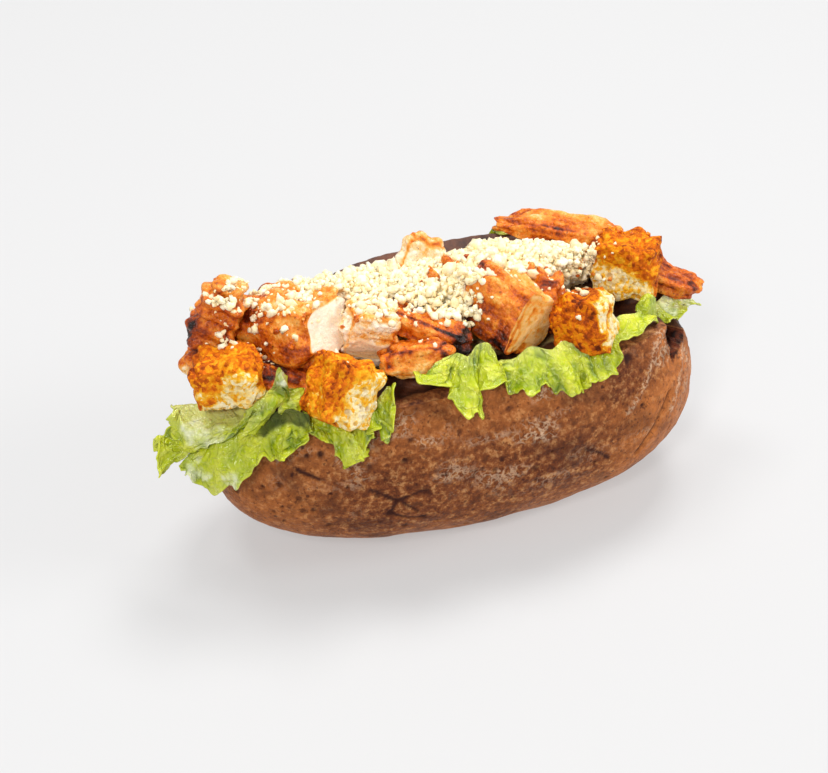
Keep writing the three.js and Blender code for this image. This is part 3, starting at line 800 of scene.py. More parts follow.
meat = grilled_chicken()
for order, (name, piece) in enumerate(CHICKEN.items()):
    form = {key: piece[key] for key in ("taper", "bend", "rough") if key in piece}
    where = piece["at"], piece["half"], piece["turn"]
    net, own, placed, quads = block(*where, CHICKEN_CELL, CHICKEN_BLUNTNESS, **form)
    seed = 300 + 10 * order
    cut = np.zeros(len(own))
    if "cut" in piece:
        way = np.array(piece["cut"]) / np.linalg.norm(piece["cut"])
        past = own @ way - piece["reach"] + 0.25 * lumps(own, 3.5, seed + 2)
        cut = smooth(past, 0, 0.5)
        placed = placed - np.maximum(past, 0)[:, None] * (turned(piece["turn"]) @ way)
    grain = crags(own, [10, 1.5, 1.7], 3, seed)
    crust_lumps = crags(own, 3.4, 4, seed + 1)
    grit = crags(own, 1.3, 2, seed + 5)
    corner = smooth(np.sort(np.abs(net), axis=1)[:, 1], 0.72, 0.98)
    height = piece.get("grain", 0.25) * grain * (1 - 0.6 * cut) * (1 - 0.5 * corner)
    height += (0.42 * crust_lumps + 0.14 * grit) * (1 - 0.85 * cut) * (1 - 0.5 * corner)
    if "ridges" in piece:
        apart, tall = piece["ridges"]
        height += tall * np.sin(2 * np.pi * (own[:, 2] + 1.5 * lumps(own, 6, seed + 3)) / apart)
    sear = piece["sear"] + piece["gain"] * (net @ np.array(piece["darker"]))
    sear += 0.2 * crags(own, 8, 3, seed + 4)
    sear += piece.get("edges", 0.14) * corner - 0.1 * grain - 0.1 * crust_lumps - 0.06 * grit
    tone = piece.get("tone", 0.0)
    cut_sear = tone + (0.08 + tone) * np.maximum(-grain, 0)
    sear = lerp(sear, cut_sear, cut * (1 - 0.6 * smooth(corner, 0.5, 1)))
    piece["points"] = placed + quad_normals(placed, quads) * height[:, None]
    finish_piece(name + "_grilled", piece["points"], quads, meat, "chicken", [name],
                 sear=np.clip(sear, 0, 1), crust=1 - cut)

# %% [markdown]
# ## Lettuce
#
# Leaves of a frilly lettuce, which hang over the near lip or stand between the other pieces. A
# leaf is a thin sheet: it grows faster at its margin than at its base, so the margin ruffles and
# the blade puffs up between the veins. Cloth simulation could ruffle a sheet, but it can't be
# told where the veins are. Here a leaf is a surface through a few curves, with waves that grow
# towards the margin, a small dome in each field between veins, and notches bitten out of its
# edge. Solidify then gives it the thickness of a real leaf.


# %% Curves through a few points
def spline(stops_along, t):
    """A smooth curve through evenly timed stops: each stretch is a cubic whose slope at a stop is
    half of the way from the stop before to the one after."""
    stops_along = np.asarray(stops_along, float)
    last = len(stops_along) - 1
    i = np.minimum((np.clip(t, 0, 1) * last).astype(int), last - 1)
    f = (np.clip(t, 0, 1) * last - i)[:, None]
    a, b, c, d = (stops_along[np.clip(i + k, 0, last)] for k in (-1, 0, 1, 2))
    return b + 0.5 * f * (c - a + f * (2 * a - 5 * b + 4 * c - d + f * (3 * (b - c) + d - a)))


def curve(stops_along, t):
    """A smooth curve that takes longer over longer stretches (by the fourth root of the squared
    distance). A stop may be a whole row of points, which gives a row of curves."""
    stops_along = np.asarray(stops_along, float)
    before, after = 2 * stops_along[0] - stops_along[1], 2 * stops_along[-1] - stops_along[-2]
    padded = np.concatenate([before[None], stops_along, after[None]])
    last = len(stops_along) - 1
    i = np.minimum((np.clip(t, 0, 1) * last).astype(int), last - 1)
    f = (np.clip(t, 0, 1) * last - i).reshape(-1, *[1] * (stops_along.ndim - 1))
    a, b, c, d = (padded[i + k] for k in range(4))
    ways = (b - a, c - b, d - c)
    times = [np.sum(way**2, axis=-1, keepdims=True) ** 0.25 for way in ways]
    early, now, late = (np.maximum(time, 1e-4) for time in times)
    out = ((b - a) / early - (c - a) / (early + now) + (c - b) / now) * now
    come = ((c - b) / now - (d - b) / (now + late) + (d - c) / late) * now
    return b + out * f + (3 * (c - b) - 2 * out - come) * f**2 + (2 * (b - c) + out + come) * f**3


half_way = curve([[0, 0], [2, 1], [6, 0]], np.array([0.5]))[0]
print("half way along a bent curve:", np.round(half_way, 2))

# %% The leaves: those that hang over a lip, then those that stand free
# A hanging leaf has the stretch of lip along which it goes in, how far it is tucked in and how
# steeply it leans there, its side of the potato, and its margin as x and millimetres down the
# wall. A free one has rows of points from its base to its margin. Ruffle and waves are the height
# and the number of its large waves, frill and crumple are shares of the small ones, and a list of
# pale patches, each with its place and radius, gives painted highlights.
HANGING = {
    "lettuce_left": dict(
        inner=(-58, -33), tuck=9, lean=45, ruffle=3, waves=3, side=-1,
        margin=[(-60, 7), (-50, 13), (-48, 17), (-42, 14), (-39, 6), (-36, 11), (-31, -5)]),
    "lettuce_middle": dict(
        inner=(-13, 3), tuck=16, lean=66, ruffle=3, waves=2.5, side=-1,
        margin=[(-25, -6), (-18, -4), (-15, 0), (-12, 7), (-9, 6), (-5, 2), (1, 1)]),
    "lettuce_right": dict(
        inner=(4, 32), tuck=11, lean=45, ruffle=3, waves=3, side=-1,
        margin=[(2, -3), (5, 4), (12, 5), (19, 5), (25, 9), (31, 8), (34, 5)]),
    "lettuce_far_right": dict(
        inner=(30, 58), tuck=11, lean=40, ruffle=1.5, waves=2, side=-1, frill=0.7,
        margin=[(30, 7), (36, 7), (41.5, 4), (45.5, -2), (53, -1.5), (61, -4)]),
    "lettuce_back_left": dict(
        inner=(-58, -40), tuck=6, lean=-10, ruffle=2, waves=3, side=1, frill=0.5,
        margin=[(-60, 4), (-54, 9), (-49, 6), (-44, 11), (-38, 4)]),
    "lettuce_back_right": dict(
        inner=(30, 57), tuck=5, lean=-15, ruffle=2, waves=3, side=1, frill=0.5,
        margin=[(28, 3), (34, 8), (40, 13), (46, 8), (52, 11), (59, 3)]),
}
FREE = {
    "lettuce_cup": dict(
        ruffle=0, waves=1, frill=0.5, crumple=2.0, painted_highlights=[(-90, -15, 59.5, 6), (-85, -19, 60, 4)],
        rows=[
            [(-94, 0, 63), (-88, -2, 64), (-76, -4, 64), (-64, -8, 66)],
            [(-96, -5, 63), (-94, -10, 58), (-86, -16, 59), (-79, -20, 62), (-71, -21, 70),
             (-66, -19, 72)],
            [(-95, -8, 58), (-93, -12, 51), (-88, -19, 56), (-83, -22, 60), (-79, -22, 65)]]),
    "lettuce_front": dict(
        ruffle=1.2, waves=4, crumple=1.4, painted_highlights=[(-92, -18, 46.5, 4.5), (-84, -24.5, 45.5, 4)],
        rows=[
            [(-90, -8, 55), (-85, -12, 60), (-79, -16, 64), (-73, -18, 66), (-66, -20, 67),
             (-59, -22, 68)],
            [(-92, -11, 50), (-87, -16, 54), (-80, -21, 58), (-73, -24, 61), (-65, -27, 63),
             (-59, -28, 67)],
            [(-94, -12, 48), (-89, -17, 47), (-82, -22, 51), (-73, -25, 57), (-66, -28, 57),
             (-59, -29, 62)],
            [(-95, -12, 45), (-91, -14, 39), (-86, -16, 37), (-81, -21, 41), (-75, -25, 48),
             (-72, -26, 53), (-66, -28, 52), (-61, -31, 57), (-59, -29, 62)]]),
    "lettuce_tip": dict(
        ruffle=1, waves=2, rows=[
            [(-86, -2, 53), (-88, -6, 50), (-90, -10, 45)],
            [(-94, -1, 52), (-97, -4, 48), (-96, -8, 45)],
            [(-92, 1, 52), (-98, 0, 54), (-104, -2, 49), (-103, -5, 44), (-100, -7, 40)]]),
    "lettuce_fold": dict(
        ruffle=0, waves=1, frill=0.35, painted_highlights=[(-65, -22, 78, 3.2)], rows=[
            [(-68, -20, 76), (-69, -20, 73), (-74, -22, 68), (-81, -22, 60)],
            [(-66, -22, 82), (-66, -24, 74), (-71, -26, 69), (-78, -25, 62)],
            [(-62, -22, 76), (-64, -23, 70), (-69, -24, 65), (-74, -24, 60)]]),
    "lettuce_tongue": dict(
        ruffle=0, waves=1, frill=0.4, rows=[
            [(-64, -18, 71), (-67, -22, 66), (-66, -25, 62)],
            [(-57, -20, 71), (-60, -24, 67), (-64, -27, 62)]]),
    "lettuce_end": dict(
        ruffle=1, waves=2, painted_highlights=[(75, -6, 60, 5), (84, -2, 55.5, 5)], rows=[
            [(64, -10, 65), (72, -5, 63), (80, 1, 60)],
            [(66, -12, 61), (75, -7, 59), (85, 0, 56)],
            [(68, -15, 56), (74, -12, 55), (80, -7, 54), (85, -3, 53), (90, 3, 51)]]),
    "lettuce_curl": dict(
        ruffle=0, waves=1, frill=0.3, rows=[
            [(57, -15, 65), (61, -12, 68), (65, -12, 64)],
            [(57, -18, 69), (61, -17, 73), (65, -15, 69)],
            [(58, -20, 62), (61, -20, 64), (65, -17, 61)]]),
}
LEAF_COLUMNS, LEAF_ROWS = 132, 46  # along the margin, and from the base to the margin
LEAF_THICKNESS = 0.45
LEAF_STAND = 1.4  # how far a hanging leaf stays off the wall


def over_lip(x, d, stand, lean, side):
    """Points `stand` outside the wall and d down it from the lip. Where d is negative they lean
    inwards from the lip, rising at the angle `lean`."""
    at = station(x)
    angle = at["near" if side < 0 else "far"] + side * np.maximum(d, 0) / HALF_WIDTH
    lip, below = skin(x, angle), skin(x, angle + 0.02 * side)
    outward = np.stack([0 * x, lip[..., 2] - below[..., 2], below[..., 1] - lip[..., 1]], axis=-1)
    outward *= side / np.linalg.norm(outward, axis=-1, keepdims=True)
    inward = np.maximum(-d, 0)
    place = lip + outward * stand[..., None]
    place[..., 1] -= side * inward * np.cos(np.radians(lean))
    place[..., 2] += inward * np.sin(np.radians(lean))
    return place


def hanging_surface(leaf, u, v):
    """A grid of points: across it from the inner row to the margin, which hangs down the wall."""
    low = spline(leaf["margin"], u)
    inner_x = lerp(*leaf["inner"], u)
    x = lerp(inner_x[None], low[None, :, 0], v[:, None])
    d = lerp(-leaf["tuck"], low[None, :, 1], v[:, None])
    wave = 0.5 + 0.5 * np.sin(2 * np.pi * leaf["waves"] * u + leaf["margin"][0][0])
    stand = LEAF_STAND + leaf["ruffle"] * v[:, None] * wave[None]
    return over_lip(x, d, stand, leaf["lean"], leaf["side"])


def free_surface(leaf, u, v):
    """A grid of points: a curve along each row, and curves across them from row to row."""
    rows = np.stack([curve(row, u) for row in leaf["rows"]])
    grid = curve(rows, v)
    grid[..., 2] += leaf["ruffle"] * v[:, None] * np.sin(2 * np.pi * leaf["waves"] * u)[None]
    return grid


def frilled(grid, seed, frill=1.0, crumple=1.0):
    """The grid as a living leaf, and its marks. Notches shorten it, waves that grow towards the
    margin move it in and out and sideways, pleats and creases crumple it, and a dome rises in
    each field between veins. The marks are the veins, the thin rim, how far out a point is,
    painted shade near the base in the half that bends into the pile, and painted shade in the
    valleys."""
    rows, columns = grid.shape[:2]
    along = np.linalg.norm(np.diff(grid[-1], axis=0), axis=1).sum() * np.linspace(0, 1, columns)
    out = np.linalg.norm(np.diff(grid, axis=0), axis=2).sum(0).mean() * np.linspace(0, 1, rows)
    flat = np.stack(np.broadcast_arrays(along[None], out[:, None], 0.0), axis=-1).reshape(-1, 3)
    edge = np.stack([along, 0 * along, 0 * along], axis=1)
    notch = 0.06 * (1 + lumps(edge, 5.0, seed)) + 0.05 * (1 + lumps(edge, 2.2, seed + 1))
    tucked = 0.1 * (1 + lumps(edge, 9.0, seed + 5))
    tucked += 0.25 * np.abs(np.linspace(-1, 1, columns)) ** 4
    share = np.linspace(0, 1, rows)[:, None]
    place = lerp(tucked, 1 - notch * frill, share) * (rows - 1)
    low_row = np.minimum(place.astype(int), rows - 2)
    column = np.arange(columns)[None]
    grid = lerp(grid[low_row, column], grid[low_row + 1, column], (place - low_row)[..., None])
    pleat = ridges(flat, [5.0, 26, 1], seed + 11)
    wide, narrow = [6.0, 15, 1], [3.1, 10, 1]
    bend = 2.1 * lumps(flat, wide, seed + 2) + 1.2 * lumps(flat, narrow, seed + 3) + 0.8
    sway = 2.0 * lumps(flat, wide, seed + 8) + 1.0 * lumps(flat, narrow, seed + 9)
    shifts = (lumps(flat, 4.0, seed + 6), lumps(flat, 4.0, seed + 7), 0 * flat[:, 0])
    warped = flat + 1.6 * np.stack(shifts, axis=1)
    first, second, _ = spots(warped, [4.6, 6.4, 50], seed + 4)
    field = smooth(second - first, 0.0, 0.55)
    ribs = (along[None] + 2.5 * np.sin(out[:, None] / 7 + seed)) / 9.0
    rib = smooth(np.abs(ribs - np.round(ribs)) * 9.0, 1.1, 0.2) * (1 - 0.7 * share)
    vein = np.maximum(0.75 * smooth(second - first, 0.2, 0.04).reshape(rows, columns), rib)
    height = frill * (bend.reshape(rows, columns) * share**1.7 * 1.25 + 1.2 * share**5)
    crease = ridges(warped, [3.4, 4.6, 50], seed + 12)
    puffed = 0.7 * field + 0.2 * lumps(flat, 1.7, seed + 10) + 0.6 * pleat + 0.3 * crease
    height += crumple * puffed.reshape(rows, columns) * smooth(share, 0.05, 0.4) - 0.45 * rib
    sideways = np.gradient(grid, axis=1)
    sideways /= np.maximum(np.linalg.norm(sideways, axis=-1, keepdims=True), 1e-9)
    grid = grid + sideways * (frill * sway.reshape(rows, columns) * share**2)[..., None]
    marks = dict(vein=vein, rim=smooth(share, 0.945, 1.0) + 0 * vein, far=share + 0 * vein)
    # Painted shade near the base, in the half of the leaf that bends into the pile.
    ragged = share + 0.16 * lumps(flat, 4.5, seed + 13).reshape(rows, columns)
    marks["shade"] = smooth(ragged, 0.41, 0.29) * smooth(np.linspace(0, 1, columns), 0.5, 0.62)
    # Painted shade: the valley mark is high in low places, between the domes, along pleats and
    # creases, and where the leaf bends down.
    low = 0.35 - 0.4 * field - 0.45 * pleat - 0.3 * crease - 0.25 * bend
    marks["valley_shade"] = smooth(low.reshape(rows, columns), -0.1, 0.9)
    return grid + grid_normals(grid) * height[..., None], marks


def highlight_patches(points, spots_in_mm):
    """A mark for painted highlights, pale patches: 1 within three fifths of the radius of one, and
    ragged towards its edge."""
    mark = np.zeros(len(points))
    for *middle, radius in spots_in_mm:
        away = np.linalg.norm(points - middle, axis=1) / radius + 0.3 * crags(points, 3, 2, 77)
        mark = np.maximum(mark, smooth(away, 1.1, 0.6))
    return mark


print(len(HANGING), "leaves hang over a lip and", len(FREE), "stand free")

# %% Lettuce leaf, and the leaves as pieces
def lettuce_leaf(name, pale, deep=False):
    """Crisp lettuce: thin and waxy, so it shines, and light from behind comes through. Its blade
    is a yellow green with painted shade in its valleys, and its base, veins and margin are paler.
    Pale streaky patches on it are painted highlights. A deep leaf also has painted shade, dark
    green, where its base bends back into the pile."""
    material = blank(name)
    tone = spread_mark(material, 0.56, speckle(material, 7, 4.0, 0.55), 1.05)
    # Painted shade: the blade is darker in its valleys.
    tone = ("valley_shade", -0.38, tone)
    tone = add_node(material, "Math", tone, operation="MULTIPLY_ADD", use_clamp=True)
    colour = add_node(material, "ValToRGB", [tone],
                      stops={0.12: "#2c4a02", 0.34: "#6f8a02", 0.56: "#b0bc06", 0.8: "#dfde40"})
    base = ("far", -1.6, 0.42 + pale)
    base = add_node(material, "Math", base, operation="MULTIPLY_ADD", use_clamp=True)
    # Painted highlights: pale streaky patches where the leaf would shine.
    painted_highlights = ("painted_highlights", flecks(material, 0.36, 0.6, 4.0, 2.0, 0.5, 8.0))
    painted_highlights = add_node(material, "Math", painted_highlights, operation="MULTIPLY")
    thin_veins = creases(material, 5.0, 21.0)
    tints = [("#dedd92", base, 0.75), ("#dce060", "vein", 0.28), ("#dbe240", "rim", 0.6),
             ("#eef1cd", painted_highlights, 0.75), ("#e6ea86", thin_veins, 0.22)]
    # Painted shade: dark green where the base bends back into the pile.
    if deep:
        tints.append(("#0f2103", "shade", 0.85))
    for tint, mark, share in tints:
        colour = tinted(material, colour, tint, mark, share)
    raised = ("vein", 0.7, speckle(material, 2.0, 4.0, 0.6, 6.0))
    raised = add_node(material, "Math", raised, operation="MULTIPLY_ADD")
    fine = add_node(material, "Math", (thin_veins, 0.35, raised), operation="MULTIPLY_ADD")
    roughness = 0.16
    # The painted shade is rougher too, so that it shines less.
    if deep:
        dull = ("shade", 0.7, roughness)
        roughness = add_node(material, "Math", dull, operation="MULTIPLY_ADD")
    return finish_material(material, colour, roughness, fine, depth=0.7, soaks=0.1, soak_depth=1.6,
                           Subsurface_Radius=(0.7, 1.0, 0.1))


green_leaf = lettuce_leaf("lettuce_blade", 0.0)
pale_leaf = lettuce_leaf("lettuce_heart", 0.7)
pocket_shade_leaf = lettuce_leaf("lettuce_pocket_shade", -0.3, True)
BLADES = {"lettuce_cup": pale_leaf, "lettuce_end": pale_leaf, "lettuce_front": pocket_shade_leaf}
u, v = np.linspace(0, 1, LEAF_COLUMNS), np.linspace(0, 1, LEAF_ROWS)
for order, (name, leaf) in enumerate({**HANGING, **FREE}.items()):
    surface = hanging_surface if name in HANGING else free_surface
    small = leaf.get("frill", 1.0), leaf.get("crumple", 1.0)
    grid, marks = frilled(surface(leaf, u, v), 600 + 20 * order, *small)
    leaf["points"] = grid.reshape(-1, 3)
    # Painted highlights: pale patches where the leaf would shine.
    marks["painted_highlights"] = highlight_patches(leaf["points"], leaf.get("painted_highlights", []))
    blade = BLADES.get(name, green_leaf)
    slot = "pale_leaf" if blade is pale_leaf else "leaf"
    piece = finish_piece(name + "_leaf", leaf["points"], grid_quads(LEAF_ROWS, LEAF_COLUMNS), blade,
                         slot, [name], **marks)
    wall = piece.modifiers.new("thickness", "SOLIDIFY")
    wall.thickness = LEAF_THICKNESS * MILLIMETRE
    wall.offset = 0

# %% [markdown]
# ## The cheese
#
# White cheese, crumbled by hand over everything, so it lies in a long heap and in loose grains on
# what is near it. A particle system would scatter grains, but they would sink into each other
# and into the chicken. Here each grain is dropped: a map of heights over the whole filling says
# how far it falls, it is set down there, and the map is raised by it before the next one comes.
# Under the heap lies a core with a crumbly surface, so that not every grain has to be made. A few
# crumbs of chicken fall in between.

# %% The heap's core
HEAP_SPINE = [(-64, 12, 82), (-29, 12, 75), (0, 11, 74), (26, 11, 74), (60, 11, 70)]
HEAP_SIZE = [(9, 9), (14, 11.5), (19, 11.5), (18, 11), (12, 7)]  # half width and half height
HEAP_SLOPE = 0.4  # how steeply it falls away from its near edge
CORE_SHRINK = -0.3  # how far the core stays inside the heap, which the grains fill up
CORE_ROWS, CORE_COLUMNS = 270, 190


def heap_taper(u):
    """1 along most of the heap, and less and less towards 0 at both ends."""
    return np.sqrt(np.maximum(1 - (2 * u - 1) ** 6, 0))


def heap_surface(u, angle, out):
    """A tube round the heap's spine, `out` millimetres outside it: its section is an ellipse that
    leans with the slope, swollen by two waves, and its size fades to nothing at both ends."""
    middle = curve(HEAP_SPINE, u)[:, None] + np.zeros((1, len(angle), 1))
    taper = heap_taper(u)[:, None]
    wave = 0.6 * np.sin(17 * u[:, None] + 3 * angle) + 0.5 * np.sin(31 * u[:, None] - 2 * angle)
    half_sizes = (spline(HEAP_SIZE, u)[:, k : k + 1] for k in (0, 1))
    wide, tall = (half * taper + wave * taper + out * taper for half in half_sizes)
    across = wide * np.sin(angle)
    middle[..., 1] += across
    middle[..., 2] += tall * np.cos(angle) - HEAP_SLOPE * across
    return middle


def crumbled(points):
    """Height of a crumbly surface: crumbs of three sizes, each highest at its middle and lowest
    where two meet, and uneven in height."""
    height = 0.8 * lumps(points, 12.0, 800)
    for size, tall, seed in ((5.4, 2.2, 801), (2.8, 1.2, 805), (1.3, 0.5, 809)):
        first, second, number = spots(points, size, seed)
        height += tall * (smooth(second - first, -0.15, 0.55) * (0.5 + 0.6 * number) - 0.5)
    return height


turn_way = np.linspace(0, 2 * np.pi, CORE_COLUMNS)
turn_way = turn_way - 0.35 * np.sin(turn_way)  # closer together on top
core = heap_surface(np.linspace(0, 1, CORE_ROWS), turn_way, CORE_SHRINK)
core_points = core.reshape(-1, 3)
core_points = core_points + grid_normals(core).reshape(-1, 3) * crumbled(core_points)[:, None]
print("core reaches up to", round(core_points[:, 2].max(), 1), "mm")

# %% Dropping grains on a map of heights
MAP_CELL = 0.5
MAP_CORNER = np.array([-110.0, -50.0])
MAP_SIZE = (420, 200)  # in cells
NOTHING = -1e3  # the height of a cell where there is nothing
TRIES, ROLL = 7, 1.3  # places where a grain may come to rest, and how far it rolls there
LOWEST_GRAIN = 45.0  # what falls lower has missed the potato


def height_map(clouds):
    """The highest point of all clouds in each cell, with small gaps filled from their sides."""
    heights = np.full(MAP_SIZE, NOTHING)
    for cloud in clouds:
        i, j = ((cloud[:, :2] - MAP_CORNER) / MAP_CELL).astype(int).T
        np.maximum.at(heights, (i, j), cloud[:, 2])
    for _ in range(3):
        sides = [np.roll(heights, shift, axis) for shift in (-1, 1) for axis in (0, 1)]
        heights = np.where(heights < 0, np.max(sides, axis=0), heights)
    return heights


def drop(heights, ground, spots_xy, radii, layers):
    """Sets a ball down for each spot, where it first touches the map of heights, then raises the
    map by it. Of a few places near the spot it takes the lowest, as a rolling grain does. One that
    would lie more than its layer above the ground, which is another map, or that misses the
    potato, is lost. Gives the middles and the radii of the others."""
    rolls = np.random.default_rng(5).normal(0, ROLL, (len(radii), TRIES, 2))
    places = np.full((len(radii), 3), np.nan)
    for k, radius in enumerate(radii):
        reach = int(np.ceil(radius / MAP_CELL))
        steps = np.arange(-reach, reach + 1) * MAP_CELL
        dome = np.sqrt(np.maximum(radius**2 - steps[:, None] ** 2 - steps**2, 0))
        tries = spots_xy[k] + rolls[k] * (np.arange(TRIES) > 0)[:, None]
        cells = ((tries - MAP_CORNER) / MAP_CELL).astype(int)
        i, j = min(cells, key=lambda cell: heights[cell[0], cell[1]])
        window = (slice(i - reach, i + reach + 1), slice(j - reach, j + reach + 1))
        centre = np.max(np.where(dome > 0, heights[window] + dome, NOTHING)) - radius
        if centre > ground[i, j] + layers[k]:
            continue
        raised = np.maximum(heights[window], centre + dome)
        heights[window] = np.where(dome > 0, raised, heights[window])
        places[k] = (*(MAP_CORNER + (np.array([i, j]) + 0.5) * MAP_CELL), centre)
    lying = places[:, 2] > LOWEST_GRAIN
    return places[lying], radii[lying]


def grains(places, radii, seed):
    """A lumpy grain at each place: a ball of 26 points, each pushed in or out at random, stretched
    at random and turned by a random quaternion, whose matrix is written out below."""
    net, quads = cube_net((2, 2, 2))
    ball = net / np.linalg.norm(net, axis=1, keepdims=True)
    random = np.random.default_rng(seed)
    count = len(places)
    dents = random.uniform(0.6, 1.35, (count, len(ball), 1))
    stretch = random.uniform(0.65, 1.35, (count, 1, 3))
    q = random.normal(size=(count, 4))
    w, x, y, z = (q / np.linalg.norm(q, axis=1, keepdims=True)).T
    turn = np.stack([
        1 - 2 * (y * y + z * z), 2 * (x * y - z * w), 2 * (x * z + y * w),
        2 * (x * y + z * w), 1 - 2 * (x * x + z * z), 2 * (y * z - x * w),
        2 * (x * z - y * w), 2 * (y * z + x * w), 1 - 2 * (x * x + y * y),
    ], axis=1).reshape(-1, 3, 3)
    points = np.einsum("nij,nkj->nki", turn, ball * dents * stretch)
    points = points * radii[:, None, None] + places[:, None]
    quads = quads[None] + len(ball) * np.arange(count)[:, None, None]
    return points.reshape(-1, 3), quads.reshape(-1, 4)


print("the map of heights is", np.array(MAP_SIZE) * MAP_CELL, "mm long and wide")

# %% Where the grains fall: along the heap, and in patches beside it
# Each patch has its middle and its spread along x and y, how high it may pile up, and how many
# grains fall there.
PATCHES = [
    (-75.5, 0.5, 1.4, 1.5, 2.6, 200), (-68, 1.5, 1.2, 3.5, 2.8, 190), (-57, 0, 5, 3, 1.6, 150),
    (-61, -8, 3, 2.5, 1.2, 18), (-50, -9, 3, 2, 1.2, 8), (-31, -8, 3.5, 3.5, 1.6, 90),
    (-40, 4, 5, 4, 1.8, 110), (2, -10, 2.5, 4, 2.0, 150), (31, -9, 4, 3, 1.6, 110),
    (42, -2, 4, 3, 5.0, 330), (45, -6, 2.2, 2.2, 8.0, 240), (-14, -8, 6, 3, 1.6, 80),
    (-18, -20, 8, 2, 1.2, 6), (36, -22, 3, 3, 1.2, 5), (14, -8, 6, 5, 1.2, 16),
    (-46, -24, 3, 3, 1.2, 3),
]
GAP = [(-4, -10, 3, 2.5, 8.0, 260), (-3.5, -9, 2, 1.5, 9.0, 160)]  # a gap that they fill
GAP_TOP = 73.5  # there, higher ground counts as this high, so that no grains pile up on it
CLUMPS = [  # the largest crumbs of cheese
    (-13, -8, 4, 2, 3.5, 50), (3, -12, 2, 3, 2.4, 20), (-29, -8, 3, 2.5, 2.4, 12),
    (26, -5, 4, 2, 3.0, 20), (-70, 3, 3, 4, 2.4, 10),
]
BITS = [  # crumbs of chicken
    (45, -5, 2.2, 2.2, 6.0, 60), (28, -8, 4, 2, 1.6, 35), (-60, -10, 5, 2, 1.2, 20),
    (-40, -16, 5, 2, 1.2, 14), (66, 8, 3, 3, 1.2, 10), (-2, 2, 8, 3, 1.4, 10),
]
HEAP_GRAINS = 6200
HEAP_LAYER = 1.0  # how far the heap's grains may lie above its core

filling = [skin_points[skin_points[:, 2] > BELLY], flesh.reshape(-1, 3)]
for toppings in (CROUTONS, CHICKEN, HANGING, FREE):
    filling += [topping["points"] for topping in toppings.values()]
core_map = height_map([core_points])
heights = np.maximum(height_map(filling), core_map)
random = np.random.default_rng(21)


def grain_radii(typical, spread, low, high, count):
    """Random radii from low to high: most are near the typical one, and few are far from it."""
    return np.clip(random.lognormal(np.log(typical), spread, count), low, high)


def fallen(patches, typical, top=np.inf):
    """Scatters grains of a typical radius round the middle of each patch and drops them. Most are
    near the middle. Ground above `top` counts as that high."""
    spots_xy = np.concatenate([
        np.array([x, y]) + random.normal(0, 1, (count, 2)) * np.array([wide, deep])
        for x, y, wide, deep, _, count in patches
    ])
    radii = grain_radii(typical, 0.45, 0.3, 1.7, len(spots_xy))
    layers = np.concatenate([np.full(count, layer) for *_, layer, count in patches])
    return drop(heights, np.minimum(heights, top), spots_xy, radii, layers)


u = random.uniform(0.0, 1.0, HEAP_GRAINS)
half_width = spline(HEAP_SIZE, u)[:, 0]
across = random.uniform(-1.1, 1.0, HEAP_GRAINS) * half_width * heap_taper(u)
heap_xy = curve(HEAP_SPINE, u)[:, :2] + np.stack([0 * u, across], axis=1)
heap_radii = grain_radii(0.74, 0.55, 0.35, 2.6, HEAP_GRAINS)
heap = drop(heights, core_map, heap_xy, heap_radii, np.full(HEAP_GRAINS, HEAP_LAYER))
gap, clumps = fallen(GAP, 0.85, GAP_TOP), fallen(CLUMPS, 1.1)
bits, beside = fallen(BITS, 0.95), fallen(PATCHES, 0.62)
places, radii = (np.concatenate(part) for part in zip(heap, gap, clumps, beside))
print(len(places), "grains of cheese and", len(bits[0]), "crumbs of chicken lie on the filling")
print("the grains lie", np.round([places[:, 2].min(), places[:, 2].max()], 1), "mm up")


def crumbled_cheese():
    """Young white cheese: moist and milky, so light soaks in, and its broken faces are matt. A few
    dark flecks of pepper lie on it."""
    material = blank("crumbled_white_cheese")
    colour = speckled(material, {0.3: "#ffdf9e", 0.5: "#fff0c6", 0.7: "#fff9e4"}, 3.0, 3.0)
    pepper = flecks(material, 0.71, 0.75, 1.3, 2.0, 0.5, 3.0)
    colour = tinted(material, colour, "#8a6434", pepper, 0.7)
    return finish_material(material, colour, 0.55, speckle(material, 0.9, 3.0, 0.6, 2.0), depth=0.3,
                           soaks=0.1, soak_depth=1.0, Subsurface_Radius=(1.0, 0.9, 0.65))


cheese = crumbled_cheese()
core_quads = grid_quads(CORE_ROWS, CORE_COLUMNS)
finish_piece("cheese_core", core_points, core_quads, cheese, "cheese", ["cheese"])
points, quads = grains(places, radii, 33)
finish_piece("cheese_grains", points, quads, cheese, "cheese", ["cheese"], round_over=False)
points, quads = grains(*bits, 35)
finish_piece("chicken_bits", points, quads, meat, "chicken", ["chicken_crumb"],
             sear=0.56 + 0.3 * lumps(points, 2.0, 36), crust=np.ones(len(points)))

# %% [markdown]
# ## Floor, light and camera
#
# A pale sweep of paper and soft light from all sides, as food is mostly shown: two windows behind
# and above, the right one twice as strong, which light the top and give the leaves their shine,
# and two fills, from the near left and from the right. A pale sky adds a little from everywhere.


# %% The stage
def paper_sweep():
    """Matt white paper lit from below, like a light table, so that its shadows stay pale."""
    return finish_material(blank("white_paper"), "#9a9a9a", roughness=0.9,
                           Emission_Color="#f8f7f7", Emission_Strength=0.41)


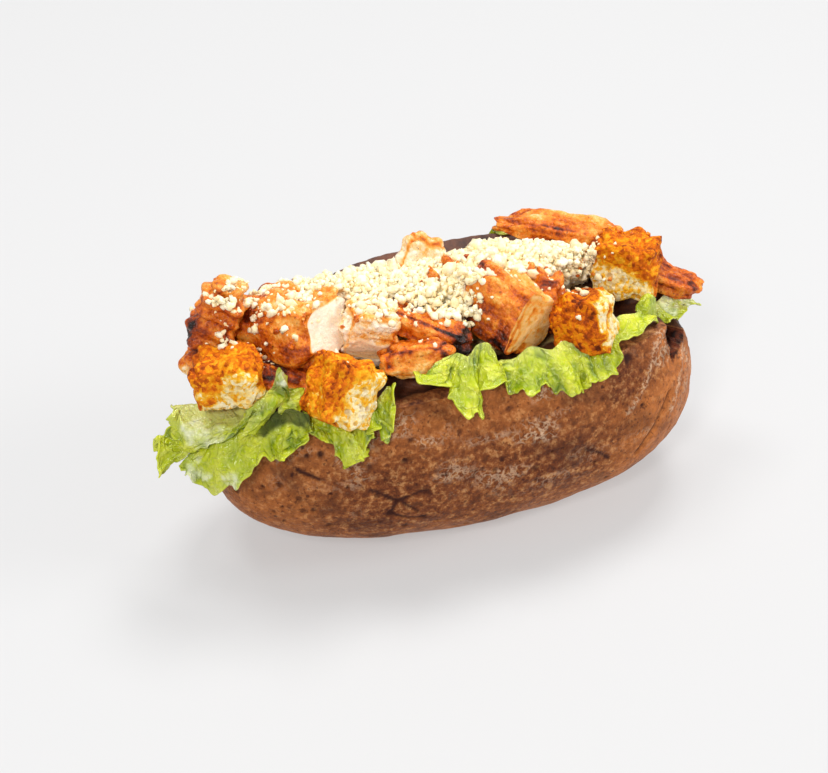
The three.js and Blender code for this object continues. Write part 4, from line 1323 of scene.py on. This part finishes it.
FLOOR_REACH = 4.0  # in metres, as is all of the stage
corners = [(x * FLOOR_REACH, y * FLOOR_REACH, 0) for x, y in ((-1, -1), (1, -1), (1, 1), (-1, 1))]
floor_mesh = bpy.data.meshes.new("floor")
floor_mesh.from_pydata(corners, [], [(0, 1, 2, 3)])
floor_mesh.materials.append(paper_sweep())
floor = linked("floor", floor_mesh)


def aim(thing, place, at):
    """Puts a light or a camera in its place and turns it to look at a point."""
    thing.location = place
    thing.rotation_mode = "QUATERNION"
    way = thing.location - type(thing.location)(at)
    thing.rotation_quaternion = way.to_track_quat("Z", "Y")


LIGHTS = {  # place, size and watts of each square window of light
    "window": ((0.4, 0.35, 1.3), 0.45, 10.5),
    "left_window": ((-0.35, 0.3, 1.3), 0.4, 5.5),
    "front_fill": ((-0.8, -1.1, 1.2), 0.3, 14),
    "side_fill": ((1.4, -0.7, 0.8), 0.6, 13),
}
for name, (place, size, watts) in LIGHTS.items():
    light = bpy.data.lights.new(name, "AREA")
    light.shape, light.size, light.energy = "SQUARE", size, watts
    aim(linked(name, light), place, (0.0, 0.0, 0.05))

world = bpy.data.worlds.new("studio")
world.use_nodes = True
world.node_tree.nodes["Background"].inputs["Color"].default_value = linear("#f6f7f8")
world.node_tree.nodes["Background"].inputs["Strength"].default_value = 0.4
bpy.context.scene.world = world
bpy.context.scene.view_settings.view_transform = "Standard"
print(len(LIGHTS), "lights,", sum(watts for *_, watts in LIGHTS.values()), "watts in all")

# %% The camera: 22 degrees to the left, 36 degrees up
AZIMUTH, ELEVATION = np.radians((-22, 36))
DISTANCE = 0.820
LOOK_AT = np.array([-0.013, 0.0, 0.0459])
level = np.cos(ELEVATION)
away = np.array([np.sin(AZIMUTH) * level, -np.cos(AZIMUTH) * level, np.sin(ELEVATION)])
lens = bpy.data.cameras.new("camera")
lens.lens, lens.sensor_width = 110, 36
camera = linked("camera", lens)
aim(camera, LOOK_AT + DISTANCE * away, LOOK_AT)
bpy.context.scene.camera = camera
print("the camera is at", np.round(LOOK_AT + DISTANCE * away, 3), "m")
